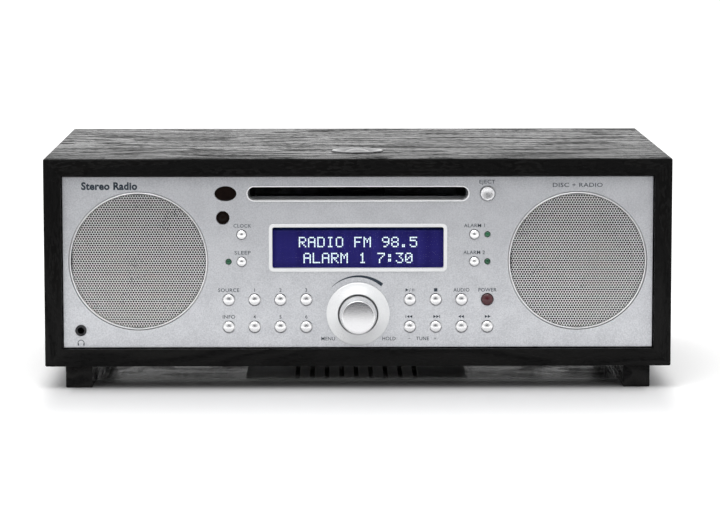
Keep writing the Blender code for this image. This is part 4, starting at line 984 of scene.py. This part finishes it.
def key_profile(radius, behind, dished):
    """From the end of the stem round the lip to the middle of the cap."""
    lip = radius + KEY_GAP + KEY_LIP
    lip_back = BEHIND - 2 * KEY_LIP
    cap = [(0, behind), (STEM_RADIUS, behind), (STEM_RADIUS, lip_back), (lip, lip_back)]
    cap += [(lip, BEHIND), (radius, BEHIND)]
    if dished:
        cap += [(radius, KEY_PROUD - 0.0007), (radius * 0.97, KEY_PROUD - 0.0003)]
        cap += [(radius * 0.88, KEY_PROUD), (radius * 0.80, KEY_PROUD - 0.0001)]
        return cap + domed(radius, KEY_PROUD - KEY_DISH, -KEY_BOWL, 0.74, 0.6, 0.45, 0.3, 0.15)
    cap += [(radius, KEY_SHOULDER - 0.0003), (radius * 0.985, KEY_SHOULDER - 0.0001)]
    cap += [(radius * 0.95, KEY_SHOULDER + 0.00005)]
    rise = KEY_PROUD - KEY_SHOULDER
    return cap + domed(radius, KEY_PROUD, rise, 0.88, 0.75, 0.6, 0.45, 0.3, 0.15)


for node in KEYS:
    radius = half_width(node) - KEY_GAP - KEY_LIP
    profile = key_profile(radius, reach_of(node)[0], node == "key_eject")
    cap = turned(node + "_cap", spot_of(node), FORWARD, 32, profile)
    look, slot = KEY_LOOKS.get(node, (satin_chrome, "satin_chrome"))
    fitted(cap, look, node, slot, node)

# ------------------------------------------------------------------------------ volume knob
# A fixed flared ring, moulded in pearl white, round a solid satin-chromed knob that turns and
# pushes on its encoder. The knob's face is slightly domed and has faint turning marks.
SURROUND_BORE = 0.0115
SURROUND_WALL = 0.0012
SURROUND_EDGE = 0.0020
FLARE_STEPS = 12
FLARE_BEND = 1.25
knob_spot = spot_of("knob_surround")
surround_proud = reach_of("knob_surround")[1]
surround_radius = half_width("knob_surround")
flare_start = SURROUND_BORE + 0.0005
flare_end = surround_radius - 0.0003
neck = SURROUND_BORE + SURROUND_WALL
profile = [(SURROUND_BORE, PANEL_BACK), (SURROUND_BORE, surround_proud - 0.0003)]
profile += [(SURROUND_BORE + 0.0002, surround_proud - 0.00005)]
for step in range(FLARE_STEPS + 1):
    share = step / FLARE_STEPS
    fall = (surround_proud - SURROUND_EDGE) * (1 - share) ** FLARE_BEND
    profile += [(flare_start + (flare_end - flare_start) * share, SURROUND_EDGE + fall)]
profile += [(surround_radius, SURROUND_EDGE - 0.0003), (surround_radius, STAND_OFF)]
profile += [(neck, STAND_OFF), (neck, PANEL_BACK), (SURROUND_BORE, PANEL_BACK)]
surround = turned("knob_flare", knob_spot, FORWARD, 96, profile)
fitted(surround, pearl, "cabinet", "pearl_plastic", "knob_surround")

KNOB_FRONT = 0.0097
KNOB_DOME = 0.0004
KNOB_BASE = 0.0112
KNOB_ROUND = 0.0006
SHAFT_RADIUS = 0.0030
shaft_end, knob_face = reach_of("volume_knob")
core = KNOB_FRONT - KNOB_ROUND
core_front = knob_face - KNOB_DOME - KNOB_ROUND
profile = [(0, shaft_end), (SHAFT_RADIUS, shaft_end), (SHAFT_RADIUS, 0.0)]
profile += [(KNOB_BASE, 0.0), (KNOB_BASE, surround_proud / 2)]
for angle in (0.1, 0.5, 0.9, 1.3):
    out, up = KNOB_ROUND * math.cos(angle), KNOB_ROUND * math.sin(angle)
    profile += [(core + out, core_front + up)]
profile += domed(KNOB_FRONT, knob_face, KNOB_DOME, 0.92, 0.8, 0.65, 0.5, 0.35, 0.2, 0.1)
knob = turned("volume_knob_cap", knob_spot, FORWARD, 96, profile)
knob_chrome, tree, metal = new_finish("turned_chrome")
place = place_in(tree)
from_middle = node_of(
    tree, "ShaderNodeVectorMath", {0: place, 1: knob_spot}, operation="SUBTRACT"
).outputs[0]
axes = axes_of(tree, from_middle)
flat_middle = vector_of(tree, {0: axes["X"], 2: axes["Z"]})
radius = node_of(
    tree, "ShaderNodeVectorMath", {0: flat_middle}, operation="LENGTH"
).outputs["Value"]
marks = noise(tree, vector_of(tree, {0: radius}), 5200.0, 2.0)
grain = noise(tree, place, 900.0, 2.0)
chrome = blended(tree, grain, (0.66, 0.66, 0.67), (0.74, 0.74, 0.75))
dullness = remapped(tree, marks, 0.3, 0.7, 0.20, 0.28)
filled(tree, metal, {"Base Color": chrome, "Roughness": dullness, "Metallic": 1.0})
bumped(tree, metal, marks, 0.00001, 0.3)
fitted(knob, knob_chrome, "volume_knob", "satin_chrome", "volume_knob")

# ------------------------------------------------------------------------------ lamps and sensors
# Green light guides beside three keys, a glossy dark window for the remote control, a light
# sensor behind a ringed dark lens, and the dark nickel-plated headphone socket.
green_lens = speckled(
    "green_lens", (0.006, 0.050, 0.022), (0.020, 0.120, 0.055), 0.15, 0.0, 800.0, 0.00002, 0.03, 1.5
)
for node in LAMPS:
    radius = half_width(node)
    back, proud = reach_of(node)
    profile = [(0, back), (radius, back), (radius, proud * 0.3)]
    for angle in (0.3, 0.6, 0.9, 1.2):
        profile += [(radius * math.cos(angle), proud * (0.3 + 0.7 * math.sin(angle)))]
    lens = turned(node + "_lens", spot_of(node), FORWARD, 24, profile + [(0, proud)])
    fitted(lens, green_lens, "cabinet", "green_lens", node)

smoked = speckled(
    "smoked_lens", (0.003, 0.002, 0.002), (0.008, 0.005, 0.004), 0.08, 0.0, 300.0, 0.000004, 0.02, 1.14
)
back, proud = reach_of("remote_window")
profile = [(0, back), (OVAL_RADIUS, back), (OVAL_RADIUS, proud * 0.3)]
profile += [(OVAL_RADIUS * 0.96, proud * 0.8), (OVAL_RADIUS * 0.8, proud), (0, proud)]
eye = turned("remote_eye", (0, 0, 0), UPWARD, 64, profile)
eye_size = (remote_high - remote_low) / 2
eye.scale = (eye_size.x / OVAL_RADIUS, eye_size.z / OVAL_RADIUS, 1.0)
bpy.ops.object.transform_apply()
fitted(placed(eye, eye_spot, FORWARD), smoked, "cabinet", "smoked_lens", "remote_window")

SENSOR_RING = 0.0009
RING_EDGE = 0.0002
sensor_radius = half_width("light_sensor")
back, proud = reach_of("light_sensor")
well = sensor_radius - SENSOR_RING
profile = [(0, back), (sensor_radius, back), (sensor_radius, proud - RING_EDGE)]
profile += [(sensor_radius - RING_EDGE, proud), (well + RING_EDGE, proud)]
profile += [(well, proud - RING_EDGE), (well, 0.0), (well * 0.9, 0.0), (well * 0.75, 0.0002)]
profile += [(well * 0.5, 0.0004), (well * 0.25, 0.0005), (0, 0.0005)]
sensor = turned("light_eye", spot_of("light_sensor"), FORWARD, 40, profile)
fitted(sensor, smoked, "cabinet", "smoked_lens", "light_sensor")

JACK_BORE = 0.0018
JACK_DEPTH = 0.0155
JACK_NUT = 0.0032
JACK_NECK = 0.0025
JACK_BODY = 0.0042
back, proud = reach_of("headphone_socket")
profile = [(0, -JACK_DEPTH), (JACK_BORE, -JACK_DEPTH), (JACK_BORE, proud - 0.0002)]
profile += [(JACK_BORE + 0.0002, proud), (JACK_NUT - 0.0005, proud), (JACK_NUT, proud - 0.0005)]
profile += [(JACK_NUT, STAND_OFF), (JACK_NECK, STAND_OFF), (JACK_NECK, BEHIND)]
profile += [(JACK_BODY, BEHIND), (JACK_BODY, back), (0, back)]
jack = turned("headphone_jack", spot_of("headphone_socket"), FORWARD, 40, profile)
nickel = speckled(
    "dark_nickel", (0.03, 0.03, 0.032), (0.07, 0.07, 0.072), 0.3, 1.0, depth=0.00001
)
fitted(jack, nickel, "cabinet", "satin_chrome", "headphone_socket")

# ------------------------------------------------------------------------------ touch pad
# A turned pad in dark satin metal, let into the top: a low rim, a deep groove and a domed
# middle.
pad_low, pad_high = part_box("touch_disc")
PAD_GROOVE = 0.0092
PAD_RIM = 0.0010
pad_radius = half_width("touch_disc")
pad_base = pad_low.z - case_high.z
dome = pad_high.z - case_high.z
profile = [(0, pad_base), (pad_radius, pad_base), (pad_radius, PAD_RIM * 0.6)]
for out, up in ((0.985, 0.9), (0.95, 1.0), (0.90, 0.95)):
    profile += [(pad_radius * out, PAD_RIM * up)]
for out, up in ((1.25, 0.2), (1.08, -0.6), (1.0, -1.0)):
    profile += [(PAD_GROOVE * out, PAD_RIM * up)]
profile += domed(PAD_GROOVE, dome, dome + PAD_RIM, 0.95, 0.85, 0.7, 0.55, 0.4, 0.25, 0.12)
pad = turned("touch_pad", touch_top, UPWARD, 80, profile)
pad_satin = speckled(
    "pad_satin", (0.26, 0.26, 0.265), (0.36, 0.36, 0.365), 0.13, 1.0, 1300.0, spread=0.05
)
fitted(pad, pad_satin, "cabinet", "satin_chrome", "touch_disc")

# ------------------------------------------------------------------------------ boards and power
# Green circuit boards and the laminated mains transformer. They are closed in by the case and
# are only glimpsed through the vents.
laminate = speckled(
    "circuit_laminate", (0.008, 0.045, 0.022), (0.020, 0.085, 0.040), 0.4, 0.0, 380.0, 0.00003
)
core_steel = speckled(
    "core_steel", (0.10, 0.10, 0.105), (0.22, 0.21, 0.20), 0.5, 0.7, 240.0, 0.00003
)
dressed(["key_board", "main_board"], laminate)
dressed(["transformer"], core_steel)

# ------------------------------------------------------------------------------ back panel
# A black moulded panel with a row of vent slots and, behind it, the block of signal sockets,
# the aerial socket and the two-pin mains inlet. Six screws hold it to the case.
back_low, back_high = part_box("back_panel")
OUTSIDE = back_high.y
BACK_THICK = back_high.y - back_low.y
BACK_EDGE = 0.0002
VENT_COUNT = 9
VENT_PITCH = 0.0070
VENT_WIDTH = 0.0025
VENT_LENGTH = 0.0260
VENT_UP = 0.0850
SOCKET_PITCH = 0.0140
SOCKET_RADIUS = 0.0042
AERIAL_RADIUS = 0.0047
REAR_SCREW_OUT = 0.160
REAR_SCREW_IN = 0.006
REAR_SCREW_SEAT = 0.0009
REAR_SCREW_HEAD = 0.0030
sockets_low, sockets_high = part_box("audio_sockets")
sockets_middle = middle_of("audio_sockets")
aerial_low, aerial_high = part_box("aerial_socket")
aerial_middle = middle_of("aerial_socket")
inlet_low, inlet_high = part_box("mains_inlet")
inlet_middle = middle_of("mains_inlet")
socket_places = []
for column in (-1.5, -0.5, 0.5, 1.5):
    for row in (-0.5, 0.5):
        x = sockets_middle.x + column * SOCKET_PITCH
        z = sockets_middle.z + row * SOCKET_PITCH
        socket_places.append((x, OUTSIDE, z))
aerial_place = (aerial_middle.x, OUTSIDE, aerial_middle.z)
rear = sized_block("rear_panel", back_low, back_high)
deep = -BACK_THICK - THROUGH
hole = rod(SOCKET_RADIUS + SLIDE_GAP, deep, THROUGH)
cutters = [turned("bore", where, BACKWARD, 32, hole) for where in socket_places]
hole = rod(AERIAL_RADIUS + SLIDE_GAP, deep, THROUGH)
cutters.append(turned("bore", aerial_place, BACKWARD, 32, hole))
vent = (VENT_WIDTH, VENT_LENGTH, VENT_WIDTH / 2, deep, THROUGH, BACKWARD, 24)
for number in range(VENT_COUNT):
    x = (number - (VENT_COUNT - 1) / 2) * VENT_PITCH
    cutters.append(drawn_out("vent", (x, OUTSIDE, case_low.z + VENT_UP), *vent))
gap = Vector((SLIDE_GAP, 0, SLIDE_GAP))
inlet_cut_low = Vector((inlet_low.x, back_low.y - THROUGH, inlet_low.z)) - gap
inlet_cut_high = Vector((inlet_high.x, back_high.y + THROUGH, inlet_high.z)) + gap
cutters.append(sized_block("inlet_hole", inlet_cut_low, inlet_cut_high))
cut_from(rear, cutters)
softened(rear, BACK_EDGE, 2, 60, clamp=False)
rear_moulding = speckled(
    "textured_moulding", (0.011, 0.011, 0.012), (0.024, 0.024, 0.026), 0.55, 0.0, 1600.0, 0.00008, 0.06
)
fitted(rear, rear_moulding, "cabinet", "black_plastic", "back_panel", smooth=15)

seats = []
for x in (-REAR_SCREW_OUT, 0.0, REAR_SCREW_OUT):
    for z in (back_low.z + REAR_SCREW_IN, back_high.z - REAR_SCREW_IN):
        seats.append((x, OUTSIDE + REAR_SCREW_SEAT, z))
screwed("rear_screws", seats, BACKWARD, REAR_SCREW_HEAD)

# ------------------------------------------------------------------------------ rear sockets
# Eight signal sockets with chromed barrels and coloured cores in one moulded block, a chromed
# threaded aerial socket, and a mains inlet with its two pins.
block_high = (sockets_high.x, back_low.y - SLIDE_GAP, sockets_high.z)
socket_block = sized_block("socket_block", sockets_low, block_high)
fitted(socket_block, moulding, "cabinet", "black_plastic", "audio_sockets", smooth=0)
BARREL_BORE = 0.0020
CORE_RADIUS = 0.0019
CORE_BORE = 0.0009
reach = sockets_high.y - OUTSIDE
inside = -BACK_THICK - SLIDE_GAP
barrel = [(BARREL_BORE, inside), (BARREL_BORE, reach - 0.0002), (BARREL_BORE + 0.0002, reach)]
barrel += [(0.0038, reach), (SOCKET_RADIUS, reach - 0.0004), (SOCKET_RADIUS, 0.0022)]
barrel += [(0.0041, 0.0018), (0.0041, inside), (BARREL_BORE, inside)]
core = [(0, -BACK_THICK), (CORE_RADIUS, -BACK_THICK), (CORE_RADIUS, reach - 0.0014)]
core += [(CORE_BORE, reach - 0.0012), (CORE_BORE, reach - 0.004), (0, reach - 0.004)]
barrels = [turned("barrel", where, BACKWARD, 32, barrel) for where in socket_places]
fitted(joined(barrels), satin_chrome, "cabinet", "satin_chrome").name = "socket_barrels"
red_core = speckled("red_core", (0.25, 0.012, 0.012), (0.36, 0.02, 0.02), 0.4)
white_core = speckled("white_core", (0.55, 0.55, 0.53), (0.68, 0.68, 0.66), 0.4)
for name, finish, row in (("socket_cores_red", red_core, 0), ("socket_cores_white", white_core, 1)):
    cores = [turned("core", where, BACKWARD, 24, core) for where in socket_places[row::2]]
    fitted(joined(cores), finish, "cabinet", "black_plastic").name = name

THREAD_PITCH = 0.0007
THREAD_ROOT = 0.0044
FLANGE_RADIUS = 0.0070
FLANGE_THICK = 0.002
aerial_end = aerial_high.y - OUTSIDE
aerial_back = aerial_low.y - OUTSIDE
flange = aerial_back + FLANGE_THICK
profile = [(0, 0.004), (0.0004, 0.004), (0.0004, 0.0045), (0.0018, 0.0045)]
profile += [(0.0018, aerial_end - 0.0002), (0.0020, aerial_end), (0.0043, aerial_end)]
for turn in range(int((aerial_end - 0.0025) / THREAD_PITCH)):
    height = aerial_end - 0.0003 - turn * THREAD_PITCH
    profile += [(AERIAL_RADIUS, height), (THREAD_ROOT, height - THREAD_PITCH / 2)]
profile += [(AERIAL_RADIUS, 0.0018), (AERIAL_RADIUS, flange)]
profile += [(FLANGE_RADIUS, flange), (FLANGE_RADIUS, aerial_back), (0, aerial_back)]
aerial = turned("aerial_barrel", aerial_place, BACKWARD, 48, profile)
fitted(aerial, satin_chrome, "cabinet", "satin_chrome", "aerial_socket")

INLET_EDGE = 0.0008
PIN_RADIUS = 0.0012
PIN_OUT = 0.0043
inlet_spot = (inlet_middle.x, inlet_high.y, inlet_middle.z)
inlet = softened(sized_block("power_inlet", inlet_low, inlet_high), INLET_EDGE)
recess = drawn_out("recess", inlet_spot, 0.0166, 0.0096, 0.0048, -0.011, THROUGH, BACKWARD)
cut_from(inlet, [recess])
fitted(inlet, moulding, "cabinet", "black_plastic", "mains_inlet", smooth=15)
pins = []
for x in (inlet_middle.x - PIN_OUT, inlet_middle.x + PIN_OUT):
    profile = [(0, -0.0115), (PIN_RADIUS, -0.0115), (PIN_RADIUS, -0.0026)]
    profile += [(0.0009, -0.0021), (0, -0.0020)]
    where = (x, inlet_high.y, inlet_middle.z)
    pins.append(turned("pin", where, BACKWARD, 20, profile))
fitted(joined(pins), satin_chrome, "cabinet", "satin_chrome").name = "inlet_pins"

# ------------------------------------------------------------------------------ woofer guard
# A black moulded plate under the woofer, with round corners and a field of slots, screwed to
# the bottom board at its four corners.
guard_low, guard_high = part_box("woofer_guard")
GUARD_CORNER = 0.0080
GUARD_EDGE = 0.0005
GUARD_PITCH = 0.0090
GUARD_SLOT = 0.0030
GUARD_SLOT_DEPTH = 0.005
GUARD_SCREW_IN = 0.008
GUARD_SCREW_HEAD = 0.0028
guard = drawn_out(
    "woofer_plate", woofer_floor, guard_high.x - guard_low.x, guard_high.y - guard_low.y,
    GUARD_CORNER, guard_low.z - case_low.z, guard_high.z - case_low.z, UPWARD, 64,
)
across = (GUARD_SLOT / 2, -GUARD_SLOT_DEPTH, THROUGH, UPWARD, 24)
slots = []
for column in range(-4, 5):
    x = column * GUARD_PITCH
    length = 2 * math.sqrt(WOOFER_OPENING**2 - x**2)
    where = (x, woofer_middle.y, case_low.z)
    slots.append(drawn_out("slot", where, GUARD_SLOT, length, *across))
cut_from(guard, slots)
softened(guard, GUARD_EDGE, 3, 60, clamp=False)
fitted(guard, rear_moulding, "cabinet", "black_plastic", "woofer_guard", smooth=15)
seats = []
for x in (guard_low.x + GUARD_SCREW_IN, guard_high.x - GUARD_SCREW_IN):
    for y in (guard_low.y + GUARD_SCREW_IN, guard_high.y - GUARD_SCREW_IN):
        seats.append((x, y, guard_low.z))
screwed("guard_screws", seats, DOWNWARD, GUARD_SCREW_HEAD)
